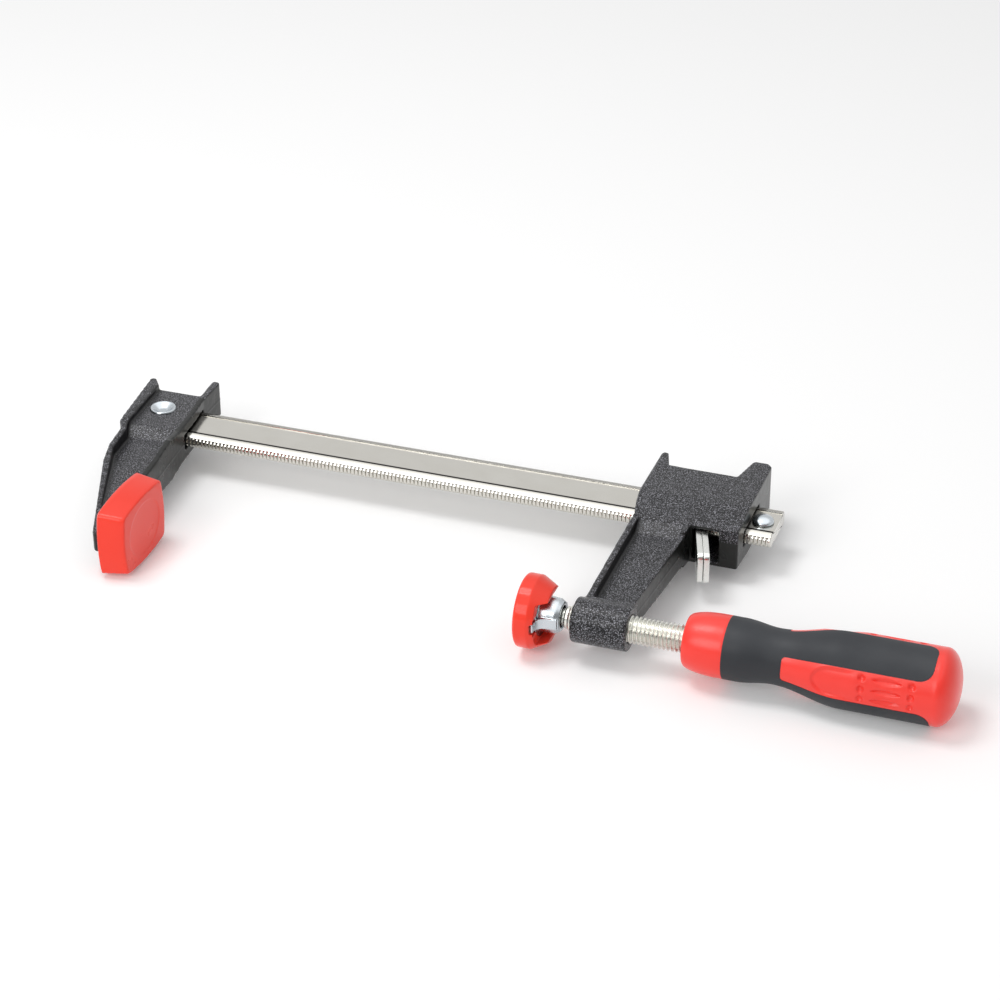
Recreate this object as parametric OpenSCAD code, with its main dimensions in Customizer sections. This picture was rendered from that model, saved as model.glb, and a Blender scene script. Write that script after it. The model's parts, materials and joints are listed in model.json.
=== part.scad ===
// Clutch bar clamp: a notched steel bar with a riveted fixed jaw, a sliding jaw held by two
// sprung clutch plates, and a screw spindle with a swivel pad and a two-colour handle.
// Drawn from the notched edge of the bar at the fixed jaw's mouth: +X runs along the bar
// towards the handle, the jaw arms point towards -Y, and Z = 0 is the mid-plane of it all.

/* [Bar] */
// Length of the bar, end to end
bar_len = 252.2; // [200:0.2:600]
// Width of the bar, notched edge to back edge
bar_w = 21; // [17:0.5:26]
// Thickness of the bar over its rims
bar_t = 5.6; // [4:0.1:7]
// How deep each wide face is sunk between its rims
face_sink = 0.4; // [0.1:0.05:0.8]
// Width of the rim next to the notched edge
rim_front = 3.3; // [3:0.1:5]
// Width of the rim next to the back edge
rim_back = 2.9; // [2.8:0.1:5]
// Distance from one notch to the next
notch_pitch = 1.5; // [1.2:0.1:3]
// Depth of a notch in the rounded edge
notch_depth = 0.7; // [0.4:0.05:1.2]
// Width of a notch at its mouth
notch_w = 0.9; // [0.5:0.05:1.1]
// Length of bar held inside the fixed jaw
bar_in_jaw = 26.5; // [22:0.1:28]

/* [Jaws] */
// Throat: from the tips of the notched edge to the spindle axis
throat = 70; // [60:0.1:110]
// Thickness of the fixed jaw at the bar
fixed_t = 18.4; // [14:0.1:24]
// Thickness of the fixed jaw at the tip of its arm
fixed_tip_t = 7; // [5:0.5:16]
// Thickness of the sliding jaw's body
slide_t = 19.4; // [17:0.1:26]
// Length of the sliding jaw's body along the bar
slide_len = 41.5; // [41:0.1:60]
// Thickness of the sliding jaw where its arm meets the boss
arm_t = 12; // [10:0.5:16]
// Thickness of the web inside the fixed jaw's arm
fixed_web_t = 8; // [5:0.2:10]
// Thickness of the web inside the sliding jaw's arm
web_t = 6.4; // [4:0.2:9]
// Width of the flange along the outer edge of each arm
flange_w = 2.5; // [2:0.1:4]
// Width of the fixed jaw's flange beside the head rivet's plate
plate_flange_w = 3.4; // [2:0.1:4]
// How far that flange stands over the plate around the head rivet
plate_sink = 2.1; // [1:0.1:3]
// Clearance between the bar and the slots in the jaws
bar_gap = 0.3; // [0.2:0.05:0.5]
// Radius of the threaded boss
boss_r = 8; // [7:0.1:11]
// Length of the threaded boss
boss_len = 19.8; // [16:0.1:26]

/* [Pads] */
// Length of the fixed pad along the arm
pad_len = 36; // [28:0.2:44]
// Height of the fixed pad
pad_h = 28; // [23:0.2:30]
// Thickness of the fixed pad's face over its steel plate
pad_cover = 4; // [2:0.1:6]
// How much the four sides of the fixed pad bulge
pad_bulge = 1.5; // [0.5:0.1:2]
// Draft of the fixed pad: size of its face as a share of its back
pad_draft = 0.92; // [0.85:0.01:0.98]
// Thickness of the plate under the fixed pad
plate_t = 6.3; // [4:0.1:8]
// Wall of the fixed pad around the plate
pad_wall = 2; // [1.5:0.1:3]
// Diameter of the swivel pad
swivel_d = 26.2; // [25:0.2:34]
// Thickness of the swivel pad's rim
swivel_rim = 5.1; // [4:0.1:6]

/* [Clutch] */
// Thickness of one clutch plate
plate_th = 2.1; // [1.2:0.1:2.4]
// Height of the clutch plates
plate_h = 12; // [10:0.2:12.6]
// Lean of the clutch plates at rest
plate_lean = 18; // [12:0.2:20]
// Angle through which the plates are pressed to let go
plate_swing = 15; // [8:0.5:16]
// Length of the tail that the fingers press
tail_len = 20.8; // [14:0.1:26]
// Gap between the two plates
plate_gap = 0.15; // [0.1:0.05:0.3]
// Diameter of the spring wire
wire_d = 0.5; // [0.4:0.05:0.6]
// Outer diameter of the clutch spring
spring_d = 3.6; // [3.2:0.1:3.8]
// Turns of the clutch spring
spring_turns = 6; // [4:1:7]

/* [Spindle] */
// Outside diameter of the spindle's thread
spindle_d = 9.9; // [8:0.1:12]
// Radial clearance of the thread in its boss
thread_gap = 0.05; // [0.02:0.01:0.1]
// Bare thread between the boss and the handle
bare_thread = 19.9; // [18.6:0.1:60]
// Gap between the swivel cup and the boss
cup_gap = 4.4; // [4.3:0.1:10]
// Radius of the ball at the spindle's end
ball_r = 4.1; // [3.8:0.1:4.2]
// Radius of the neck behind the ball
neck_r = 3.1; // [2.6:0.1:3.1]

/* [Handle] */
// Length of the handle
handle_len = 93.8; // [85:0.1:130]
// Diameter of the collar next to the spindle
collar_d = 21.9; // [19:0.1:26]
// Diameter of the waist
waist_d = 19.2; // [17:0.2:24]
// Diameter of the grip
grip_d = 27; // [24:0.2:30]
// Thickness of the soft grip over the hard core
grip_t = 1.6; // [1:0.1:2]
// Angle that each of the three soft stripes takes around the handle
stripe_angle = 68; // [40:1:80]
// Turn of the stripes about the spindle axis
stripe_turn = 21; // [0:1:119]

/* [Rivets] */
// Diameter of both rivet shanks
rivet_d = 6; // [4:0.1:7]
// Diameter of the head rivet's flush heads
head_d = 10; // [8:0.1:12]
// Diameter of the end stop's domed heads
stop_d = 8; // [7:0.1:10]
// Distance from the end stop to the end of the bar
stop_inset = 5.4; // [4.5:0.1:8]

/* [Hidden] */
$fn = 64;

// Clearance of pieces that are pressed or moulded together
snug = 0.03;
// Clearance of the swivel cup in its pad
cup_snug = 0.12;
// Clearance of pieces that move past each other
free_gap = 0.3;
// Overshoot of a cut past the face that it opens
over = 1;
steel_col = "#C9C6C0";
zinc_col = "#C4CAD0";
black_col = "#2B2B2E";
red_col = "#F2483F";
rubber_col = "#303338";

// Bar
bar_x0 = -bar_in_jaw;
bar_x1 = bar_x0 + bar_len;
bar_y0 = -0.8;
bar_y1 = bar_y0 + bar_w;
bar_cy = (bar_y0 + bar_y1) / 2;
bar_half = bar_t / 2;
notch_count = floor((bar_len - notch_pitch) / notch_pitch);

// Spindle axis and the fixed pad near it
axis_y = bar_y0 - throat;
pad_cy = axis_y + 7.4;

// Fixed jaw
rivet_x = bar_x0 + 8;
fixed_half = fixed_t / 2;
face_half = fixed_half - plate_sink;
tip_half = fixed_tip_t / 2;
fixed_web_half = fixed_web_t / 2;
web_half = web_t / 2;
slope_y = bar_y0 - 7.5;
rim_y0 = bar_y0 - 4.5;
left_x = bar_x0 - 2;
arm_y = bar_y0 - 6.7;
tip_y = axis_y - 8.8;
pad_back_x = -1.9;
plate_len = pad_draft * pad_len - 2 * pad_wall - 2 * pad_bulge;
plate_tall = pad_draft * pad_h - 2 * pad_wall - 2 * pad_bulge;
plate_x1 = pad_back_x + plate_t;
pad_face_x = plate_x1 + pad_cover;

// Sliding jaw, at rest against the end stop
stop_x = bar_x1 - stop_inset;
slide_x1 = stop_x - stop_d / 2 - free_gap;
slide_x0 = slide_x1 - slide_len;
slide_half = slide_t / 2;
nose_half = slide_half - 2;
nose_y = bar_y0 - 8.7;
crease_y = bar_y0 + 6.8;
back_y = bar_y1 + 6.6;
wing_y1 = back_y + 12.7;
arm_x0 = slide_x0 + 2.1;
arm_x1 = slide_x1 - 17.5;
arm_end_x1 = slide_x1 - 22.4;
arm_half = arm_t / 2;
boss_x0 = slide_x0 + 0.7;
boss_x1 = boss_x0 + boss_len;

// Clutch: the plates rock on the edge of the window's left wall
window_x0 = slide_x1 - 16.9;
window_x1 = slide_x1 - 7.1;
pivot = [window_x0 + 0.2, bar_y0 - 5.7];
plate_step = plate_th + plate_gap;
mean_lean = plate_lean - plate_swing / 2;
rear_pivot = pivot + plate_step * [cos(mean_lean), sin(mean_lean)];
edge_gap = 0.15;
slot_s0 = (bar_y0 - edge_gap - rear_pivot[1] - plate_th * sin(plate_lean)) / cos(plate_lean);
slot_s1 = (bar_y1 + edge_gap - pivot[1]) / cos(plate_lean);
head_s = slot_s1 + 2;
pocket_half = plate_h / 2 + 0.4;
pocket_y1 = rear_pivot[1] + head_s + plate_th * sin(plate_lean - plate_swing) + 0.3;
pocket_x0 = pivot[0] - 0.7 - (pocket_y1 - pivot[1]) * tan(plate_lean);

// Clutch spring, between the rear plate's head and the window's right wall
spring_r = (spring_d - wire_d) / 2;
spring_y = bar_y1 + 0.4 + spring_d / 2;
function head_x(y) = let (
        s = (y - rear_pivot[1] - plate_th * sin(plate_lean)) / cos(plate_lean)
    ) rear_pivot[0] - s * sin(plate_lean) + plate_th * cos(plate_lean);
spring_x0 = head_x(spring_y + spring_r - wire_d / 2) + 0.1;
coil_x0 = head_x(spring_y - spring_d / 2) + 0.35 + wire_d / 2;
spring_x1 = window_x1 - 0.1;
coil_x1 = spring_x1 - 2 * wire_d;

// Spindle
cup_x1 = boss_x0 - cup_gap;
ball_x = cup_x1 - 6.6;
spindle_r = spindle_d / 2;
collar_x0 = cup_x1 + 1;
thread_x0 = boss_x0 - 1.2;
handle_x0 = boss_x1 + bare_thread;
handle_x1 = handle_x0 + handle_len;
tang_r = spindle_r - 0.35;
tang_len = 34.8;
ring_wire = 0.7;
ring_x = ball_x + 3.1;

// Swivel cup and pad
swivel_r = swivel_d / 2;
cup_wall = 0.8;
cup_x0 = ball_x - ball_r - 0.4 - cup_wall;
flange_x0 = cup_x1 - 8.7;
flange_x1 = flange_x0 + 1.1;
cup_r = 6;
lip_r = 4.8;
leg_half = 2.6;
leg_r = swivel_r - 1.7;
swivel_x0 = cup_x0 - 2.7;
rim_x = swivel_x0 + swivel_rim;
claw_x = flange_x0 + 4.9;
low_x = flange_x0 + 1.4;
cone_slope = 0.54;
claw_z = 6.6;

// Handle
collar_r = collar_d / 2;
waist_r = waist_d / 2;
grip_r = grip_d / 2;
collar_x1 = handle_x0 + 14.5;
narrow_x = handle_x0 + 18.8;
waist_x = handle_x0 + 31.4;
swell_x = handle_x0 + 55.3;
panel_x0 = handle_x0 + 34.8;
stripe_x1 = handle_x1 - 8.2;

// The frame's origin: middle of the box, on the surface that it lies on
wing_x0 = left_x - 3.5;
low_half = max(grip_r, pad_h / 2, swivel_r, slide_half, fixed_half);
box_y0 = min(axis_y - max(grip_r, swivel_r), tip_y);
frame_shift = [-(wing_x0 + handle_x1) / 2, -(box_y0 + wing_y1) / 2, low_half];

// A flat outline in X and Y, as thick as 2 * half
module slab(points, half) {
    translate([0, 0, -half])
        linear_extrude(2 * half)
            polygon(points);
}

// A cross-section in Y and Z, drawn out along X
module along_x(x0, x1) {
    translate([x0, 0, 0])
        rotate([90, 0, 90])
            linear_extrude(x1 - x0)
                children();
}

// A box between two corners
module block(low, high) {
    translate(low)
        cube(high - low);
}

// A profile of [radius, x] points turned about the spindle axis
module turned(points) {
    translate([0, axis_y, 0])
        rotate([0, 90, 0])
            rotate_extrude()
                polygon(points);
}

// A cylinder along X on the spindle axis
module rod(radius, x0, x1) {
    translate([x0, axis_y, 0])
        rotate([0, 90, 0])
            cylinder(r = radius, h = x1 - x0);
}

// The children and their mirror image below the mid-plane
module both_faces() {
    children();
    mirror([0, 0, 1])
        children();
}

// A half outline in Y and Z with its mirror image below, drawn out along X
module along_x_both(x0, x1, half_points) {
    n = len(half_points);
    lower = [for (i = [n - 1 : -1 : 0]) [half_points[i][0], -half_points[i][1]]];
    along_x(x0, x1)
        polygon(concat(half_points, lower));
}

// The slot that the bar goes through or into
module bar_slot(x0, x1) {
    half = bar_half + bar_gap;
    block([x0, bar_y0 - bar_gap, -half], [x1, bar_y1 + bar_gap, half]);
}

module rivet_hole(x) {
    translate([x, bar_cy, -slide_t])
        cylinder(d = rivet_d + 2 * snug, h = 2 * slide_t);
}

// Cross-section of the bar: full round edges and two sunk faces
module bar_section() {
    sunk_w = bar_w - rim_front - rim_back;
    difference() {
        union() {
            translate([bar_y0 + bar_half, -bar_half])
                square([bar_w - 2 * bar_half, bar_t]);
            translate([bar_y0 + bar_half, 0])
                circle(bar_half);
            translate([bar_y1 - bar_half, 0])
                circle(bar_half);
        }
        translate([bar_y0 + rim_front, bar_half - face_sink])
            square([sunk_w, over]);
        translate([bar_y0 + rim_front, -bar_half + face_sink - over])
            square([sunk_w, over]);
    }
}

// Outline of one notch, seen from above
function notch_points(i) = let (
        x = bar_x1 - (i + 1) * notch_pitch,
        mouth = notch_w / 2,
        root = notch_w / 4,
        brow = bar_y0 - 0.05,
        deep = bar_y0 + notch_depth
    ) [[x + mouth, brow], [x + root, deep], [x - root, deep], [x - mouth, brow]];

// Outline of the row of notches, as one comb
function comb_points() = concat(
    [[bar_x0 - over, bar_y0 - over], [bar_x1 + over, bar_y0 - over]],
    [[bar_x1 + over, bar_y0 - 0.05]],
    [for (i = [0 : notch_count - 1]) each notch_points(i)],
    [[bar_x0 - over, bar_y0 - 0.05]]);

module bar() {
    color(steel_col)
        difference() {
            along_x(bar_x0, bar_x1)
                bar_section();
            slab(comb_points(), bar_t);
            rivet_hole(rivet_x);
            rivet_hole(stop_x);
        }
}

// Outline of the fixed jaw: two wings at the back, the waist at the bar and the long arm
fixed_outline = [
    [wing_x0, bar_y1 + 7], [wing_x0 + 0.8, bar_y1 + 7.8], [wing_x0 + 2.1, bar_y1 + 7.7],
    [left_x + 1.7, bar_y1 + 3.4], [-9.2, bar_y1 + 3.4], [-9.8, bar_y1 + 15.8],
    [-9.1, bar_y1 + 16.6], [-7.3, bar_y1 + 16.6], [-6.6, bar_y1 + 15.6], [-6.7, bar_y1 + 0.8],
    [-5.5, bar_y1 - 9.2], [-3.6, bar_y0 - 15.2], [-2.5, bar_y0 - 27.2],
    [pad_back_x, pad_cy + 16.7], [pad_back_x, tip_y + 0.6], [pad_back_x - 1, tip_y],
    [pad_back_x - 2.3, tip_y + 0.4], [pad_back_x - 3.4, tip_y + 2],
    [left_x + 6.1, bar_y0 - 33.3], [left_x + 3.4, bar_y0 - 22.7],
    [left_x + 2.6, arm_y - 4.4], [left_x, arm_y]];

// Region from the left flange's inner side to past the right edge, sunk to the plate's level
fixed_plate_zone = [
    [wing_x0 + 3.6, bar_y1 + 11], [left_x + 1.9, bar_y1 + 3.3], [left_x + plate_flange_w, arm_y],
    [left_x + 2.6 + flange_w, arm_y - 4.8], [left_x + 3 + flange_w, bar_y0 - 16],
    [10, bar_y0 - 16], [10, bar_y1 + 20], [wing_x0 + 3.6, bar_y1 + 20]];

// Channel of the arm, between the left flange and the rim on the right
fixed_channel = [
    [left_x + plate_flange_w, rim_y0], [left_x + plate_flange_w, arm_y],
    [left_x + 2.6 + flange_w, arm_y - 4.8], [left_x + 3.6 + flange_w, bar_y0 - 25],
    [-7.8, axis_y + 4], [-4.2, axis_y + 4], [-4.4, pad_cy + 16.7], [-5.1, bar_y0 - 27.2],
    [-6.1, bar_y0 - 15.2], [-7, rim_y0]];

// What is cut from above: the plate's level, then the slope and the arm's channel. The rim on
// the right rises from the plate's level as it passes the slope
module fixed_recess() {
    intersection() {
        slab(fixed_plate_zone, fixed_t);
        along_x(wing_x0, over)
            polygon([[bar_y1 + 20, face_half], [rim_y0, face_half],
                [rim_y0 - 9.5, face_half + 1.1], [rim_y0 - 9.5, fixed_t],
                [bar_y1 + 20, fixed_t]]);
    }
    intersection() {
        slab(fixed_channel, fixed_t);
        translate([left_x, slope_y, 0])
            rotate([0, 0, 3.4])
                along_x(-10, 50)
                    polygon([[5, face_half + 2], [2.6, face_half + 0.1],
                        [-2.6, fixed_web_half], [-90, fixed_web_half], [-90, fixed_t],
                        [5, fixed_t]]);
    }
}

module fixed_jaw() {
    color(black_col)
        difference() {
            union() {
                intersection() {
                    slab(fixed_outline, fixed_half);
                    along_x_both(wing_x0 - over, 1, [[bar_y1 + 20, fixed_half],
                        [bar_y0 - 4, fixed_half], [tip_y - over, tip_half]]);
                }
                block([pad_back_x - 0.1, pad_cy - plate_len / 2, -plate_tall / 2],
                    [plate_x1, pad_cy + plate_len / 2, plate_tall / 2]);
            }
            both_faces()
                fixed_recess();
            bar_slot(bar_x0 - bar_gap, over);
            rivet_hole(rivet_x);
        }
}

// Rivet through the fixed jaw and the bar, with flush dished heads
module head_rivet() {
    head_t = 0.6;
    dish_r = 14;
    color(zinc_col)
        translate([rivet_x, bar_cy, 0])
            difference() {
                union() {
                    cylinder(d = rivet_d, h = 2 * face_half + 0.2, center = true);
                    both_faces()
                        translate([0, 0, face_half + snug])
                            cylinder(d1 = head_d, d2 = head_d - 0.7, h = head_t);
                }
                both_faces()
                    translate([0, 0, face_half + head_t + dish_r - 0.35])
                        sphere(dish_r, $fn = 128);
            }
}

// Outline of the fixed pad in Y and Z: four sides that bulge on large radii
module bulged_outline(len_y, len_z, bulge) {
    chord_y = len_y - 2 * bulge;
    chord_z = len_z - 2 * bulge;
    side_y = (chord_z * chord_z / 4 + bulge * bulge) / (2 * bulge);
    side_z = (chord_y * chord_y / 4 + bulge * bulge) / (2 * bulge);
    intersection() {
        square([len_y, len_z], center = true);
        translate([len_y / 2 - side_y, 0])
            circle(side_y, $fn = 180);
        translate([side_y - len_y / 2, 0])
            circle(side_y, $fn = 180);
        translate([0, len_z / 2 - side_z])
            circle(side_z, $fn = 180);
        translate([0, side_z - len_z / 2])
            circle(side_z, $fn = 180);
    }
}

// Soft cap that is pushed over the plate at the tip of the fixed jaw
module fixed_pad() {
    hole_y = plate_len / 2 + snug;
    hole_z = plate_tall / 2 + snug;
    color(red_col)
        difference() {
            translate([pad_back_x + snug, pad_cy, 0])
                rotate([90, 0, 90])
                    linear_extrude(pad_face_x - pad_back_x - snug, scale = pad_draft)
                        bulged_outline(pad_len, pad_h, pad_bulge);
            block([pad_back_x - over, pad_cy - hole_y, -hole_z],
                [plate_x1 + snug, pad_cy + hole_y, hole_z]);
        }
}

// Rivet with a domed head above and below, which stops the sliding jaw
module end_stop_rivet() {
    dome_h = 2.5;
    dome_r = (stop_d * stop_d / 4 + dome_h * dome_h) / (2 * dome_h);
    seat = bar_half - face_sink + snug;
    color(zinc_col)
        translate([stop_x, bar_cy, 0]) {
            cylinder(d = rivet_d, h = 2 * seat + 0.4, center = true);
            both_faces()
                translate([0, 0, seat])
                    intersection() {
                        cylinder(d = stop_d, h = dome_h);
                        translate([0, 0, dome_h - dome_r])
                            sphere(dome_r);
                    }
        }
}

// Outline of the sliding jaw's body, with a wing at each end of its back
body_outline = [
    [slide_x0, crease_y], [slide_x0, back_y + 7.6], [slide_x0 + 0.8, back_y + 8.8],
    [slide_x0 + 2.5, back_y + 8.7], [slide_x0 + 5.2, back_y], [slide_x1 - 10.2, back_y - 0.4],
    [slide_x1 - 7.6, wing_y1 - 1.2], [slide_x1 - 6.8, wing_y1], [slide_x1 - 1.8, wing_y1],
    [slide_x1, wing_y1 - 1.8], [slide_x1, nose_y], [slide_x0 + 2.5, nose_y],
    [slide_x0 + 0.7, bar_y0 + 0.8]];

// Outline of the sliding jaw's arm
arm_outline = [
    [arm_x0, nose_y + 2], [arm_x1, nose_y + 2], [arm_end_x1, axis_y + 6],
    [arm_end_x1, axis_y], [arm_x0, axis_y]];

// Channel of the arm, between its left flange and a narrow rim on the right
arm_channel = [
    [arm_x0 + flange_w, nose_y + 1.6], [arm_x1 - 2, nose_y + 1.6],
    [arm_end_x1 - 1.8, axis_y + boss_r - 1], [arm_x0 + flange_w, axis_y + boss_r - 1]];

// What is cut from the arm's upper side: slope, then channel
module arm_recess() {
    web_end = axis_y + boss_r;
    intersection() {
        slab(arm_channel, slide_t);
        along_x(arm_x0, arm_x1)
            polygon([[nose_y + 3, nose_half + 0.8], [nose_y + 0.4, nose_half],
                [nose_y - 5.5, web_half + 0.5], [web_end, web_half - 0.6],
                [axis_y, web_half - 0.6], [axis_y, slide_t], [nose_y + 3, slide_t]]);
    }
    // The right rim stands lower than the left flange
    along_x(arm_x1 - 7.2, arm_x1 + 3.8)
        polygon([[nose_y - 5.5, nose_half - 1.6], [web_end, arm_half - 0.7],
            [web_end, slide_t], [nose_y - 5.5, slide_t]]);
}

// Room for the clutch plates to rock, open towards the arm's side
module clutch_pocket() {
    slab([[window_x0, nose_y - over], [window_x1, nose_y - over], [window_x1, pocket_y1],
        [pocket_x0, pocket_y1], [pivot[0] - 0.7, pivot[1]], [window_x0, pivot[1] - 0.6]],
        pocket_half);
}

module sliding_jaw() {
    color(black_col)
        difference() {
            union() {
                intersection() {
                    slab(body_outline, slide_half);
                    along_x_both(slide_x0 - over, slide_x1 + over, [[wing_y1 + over, slide_half],
                        [crease_y, slide_half], [nose_y - over, nose_half]]);
                }
                difference() {
                    intersection() {
                        slab(arm_outline, slide_half);
                        along_x_both(arm_x0, arm_x1, [[nose_y + 3, nose_half + 0.4],
                            [nose_y, nose_half], [axis_y + boss_r, arm_half],
                            [axis_y, arm_half]]);
                    }
                    both_faces()
                        arm_recess();
                }
                rod(boss_r, boss_x0, boss_x1);
            }
            bar_slot(slide_x0 - over, slide_x1 + over);
            clutch_pocket();
            rod(spindle_r + thread_gap, boss_x0 - over, boss_x1 + over);
        }
}

// One clutch plate, leaning at rest, with the slot that bites the bar's edges
module clutch_plate(at) {
    round_r = 2;
    plate_half = plate_h / 2;
    slot_half = bar_half + bar_gap;
    color(zinc_col)
        translate([at[0], at[1], 0])
            rotate([0, 0, plate_lean])
                difference() {
                    along_x(0, plate_th)
                        union() {
                            translate([-tail_len, -plate_half + round_r])
                                square([tail_len + head_s, plate_h - 2 * round_r]);
                            translate([-tail_len + round_r, -plate_half])
                                square([tail_len + head_s - round_r, plate_h]);
                            for (side = [-1, 1])
                                translate([-tail_len + round_r, side * (plate_half - round_r)])
                                    circle(round_r);
                        }
                    block([-over, slot_s0, -slot_half], [plate_th + over, slot_s1, slot_half]);
                }
}

module clutch_plate_front() {
    clutch_plate(pivot);
}

module clutch_plate_rear() {
    clutch_plate(rear_pivot);
}

// Coil spring: each end of the wire runs out straight along the coil's axis
spring_rings = 8;
spring_sides = 6;
coil_steps = spring_turns * spring_rings;
coil_pitch = (coil_x1 - coil_x0) / spring_turns;

function coil_point(i) = let (
        turn = i / spring_rings
    ) [coil_x0 + coil_pitch * turn, spring_y + spring_r * cos(360 * turn),
        spring_r * sin(360 * turn)];

function coil_path() = concat(
    [[spring_x0, spring_y + spring_r, 0]],
    [for (i = [0 : coil_steps]) coil_point(i)],
    [[spring_x1, spring_y + spring_r, 0]]);

function unit(v) = v / norm(v);

// Direction of the path at one of its points
function heading(path, i) = (i == 0 || i == len(path) - 1)
    ? [1, 0, 0]
    : unit(unit(path[i + 1] - path[i]) + unit(path[i] - path[i - 1]));

// A ring of the tube: its first corner points away from the coil's axis
function tube_ring(path, i, radius) = let (
        ahead = heading(path, i),
        outward = unit(path[i] - [path[i][0], spring_y, 0]),
        side = unit(cross(ahead, outward)),
        up = cross(side, ahead)
    ) [for (k = [0 : spring_sides - 1])
        path[i] + radius * (cos(360 * k / spring_sides) * up
            + sin(360 * k / spring_sides) * side)];

module tube(path, radius) {
    n = spring_sides;
    rings = len(path);
    points = [for (i = [0 : rings - 1]) each tube_ring(path, i, radius)];
    walls = [for (i = [0 : rings - 2], k = [0 : n - 1]) let (
            a = i * n + k,
            b = i * n + (k + 1) % n
        ) each [[a, b, b + n], [a, b + n, a + n]]];
    first = [for (k = [1 : n - 2]) [0, k + 1, k]];
    end = (rings - 1) * n;
    last = [for (k = [1 : n - 2]) [end, end + k, end + k + 1]];
    polyhedron(points, concat(walls, first, last));
}

// Least gap between turns of the spring that lie at least half a turn apart
coil = coil_path();
turn_gaps = [for (i = [0 : len(coil) - 2], j = [i + spring_rings / 2 : 1 : len(coil) - 1])
    norm(coil[i] - coil[j]) - wire_d];
echo(least_gap_in_clutch_spring = min(turn_gaps));

module clutch_spring() {
    color(steel_col)
        tube(coil, wire_d / 2);
}

// Spindle: ball, neck, bare shoulder, threaded length and the tang inside the handle
module spindle() {
    bite = 0.8;
    root_r = spindle_r - 0.92;
    color(steel_col) {
        translate([0, axis_y, 0])
            rotate([0, 90, 0])
                rotate_extrude() {
                    intersection() {
                        translate([0, ball_x])
                            circle(ball_r);
                        translate([0, ball_x - ball_r - 1])
                            square(2 * ball_r + 2);
                    }
                    polygon([[0, ball_x], [neck_r, ball_x], [neck_r, collar_x0],
                        [root_r, collar_x0 + 0.4], [root_r, thread_x0 - bite],
                        [spindle_r, thread_x0], [spindle_r, handle_x0 - 0.4],
                        [tang_r, handle_x0 - 0.4], [tang_r, handle_x0 + tang_len - bite],
                        [tang_r - bite, handle_x0 + tang_len], [0, handle_x0 + tang_len]]);
                }
    }
}

// Wire ring that sits on the neck behind the ball and keeps the ball in the cup
module retaining_ring() {
    color(steel_col)
        translate([ring_x, axis_y, 0])
            rotate([0, 90, 0])
                rotate_extrude()
                    translate([neck_r + 0.05 + ring_wire / 2, 0])
                        circle(d = ring_wire, $fn = 24);
}

// Pressed steel cup around the ball, with a flange and two legs that the pad holds
module swivel_cup() {
    inner_r = ball_r + 0.5;
    mouth_r = neck_r + 0.9;
    flange_r = cup_r + 2.2;
    color(zinc_col) {
        turned([[0, cup_x0], [cup_r, cup_x0], [cup_r, flange_x0], [flange_r, flange_x0],
            [flange_r, flange_x1], [cup_r, flange_x1], [lip_r, cup_x1], [mouth_r, cup_x1],
            [mouth_r, cup_x1 - cup_wall], [inner_r, cup_x1 - 2.9],
            [inner_r, cup_x0 + cup_wall], [0, cup_x0 + cup_wall]]);
        for (side = [-1, 1])
            translate([0, axis_y, 0])
                scale([1, side, 1])
                    block([flange_x0, flange_r - 1, -leg_half], [flange_x1, leg_r, leg_half]);
    }
}

// Plastic pad snapped over the cup's flange: a disc with a low cone and two claws
module swivel_pad() {
    reach = swivel_r + over;
    undercut_r = cup_r + 2.2 + cup_snug;
    edge = 0.6;
    low_r = swivel_r - cone_slope * (low_x - rim_x);
    claw_r = swivel_r - cone_slope * (claw_x - rim_x);
    color(red_col)
        difference() {
            turned([[0, swivel_x0], [swivel_r - edge, swivel_x0], [swivel_r, swivel_x0 + edge],
                [swivel_r, rim_x], [claw_r, claw_x], [claw_r - 1.8, claw_x],
                [claw_z, flange_x1 + cup_snug + 1.8], [claw_z, flange_x1 + cup_snug],
                [undercut_r, flange_x1 + cup_snug], [undercut_r, flange_x0 - cup_snug],
                [cup_r + cup_snug, flange_x0 - cup_snug], [cup_r + cup_snug, cup_x0 - cup_snug],
                [0, cup_x0 - cup_snug]]);
            block([low_x, axis_y - reach, -claw_z], [claw_x + over, axis_y + reach, claw_z]);
            block([flange_x0 - cup_snug, axis_y - leg_r - cup_snug, -leg_half - 0.6],
                [claw_x, axis_y + leg_r + cup_snug, leg_half + 0.6]);
        }
}

// Half a cosine wave from a to b while t goes from 0 to 1
function ease(a, b, t) = a + (b - a) * (1 - cos(180 * t)) / 2;

// Outline of the handle, drawn in by a depth, as [radius, x] points
blend_steps = 8;
function handle_points(depth) = let (
        lead = 12,
        drop = 2.7,
        butt_len = 6.9,
        butt_drop = grip_r - 0.6
    ) concat(
    [for (i = [0 : 5]) let (a = 18 * i)
        [collar_r - drop + drop * sin(a) - depth, handle_x0 + lead - lead * cos(a)]],
    [for (i = [0 : blend_steps]) let (t = i / blend_steps)
        [ease(collar_r, waist_r, t) - depth, narrow_x + (waist_x - narrow_x) * t]],
    [for (i = [1 : blend_steps]) let (t = i / blend_steps)
        [ease(waist_r, grip_r, t) - depth, waist_x + (swell_x - waist_x) * t]],
    [for (i = [0 : 5]) let (a = 16 * i)
        [grip_r - butt_drop + butt_drop * cos(a) - depth,
            handle_x1 - butt_len + butt_len * sin(a)]],
    [[0, handle_x1]]);

module handle_solid(depth) {
    turned(concat([[0, handle_x0]], handle_points(depth)));
}

// Outline of a stripe seen square to the axis, with two round corners at its end
module stripe_outline(half) {
    corner = 3.2;
    translate([panel_x0 - over, -half])
        square([stripe_x1 - corner - panel_x0 + over, 2 * half]);
    translate([panel_x0, corner - half])
        square([stripe_x1 - panel_x0, 2 * (half - corner)]);
    for (side = [-1, 1])
        translate([stripe_x1 - corner, side * (half - corner)])
            circle(corner);
}

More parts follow.
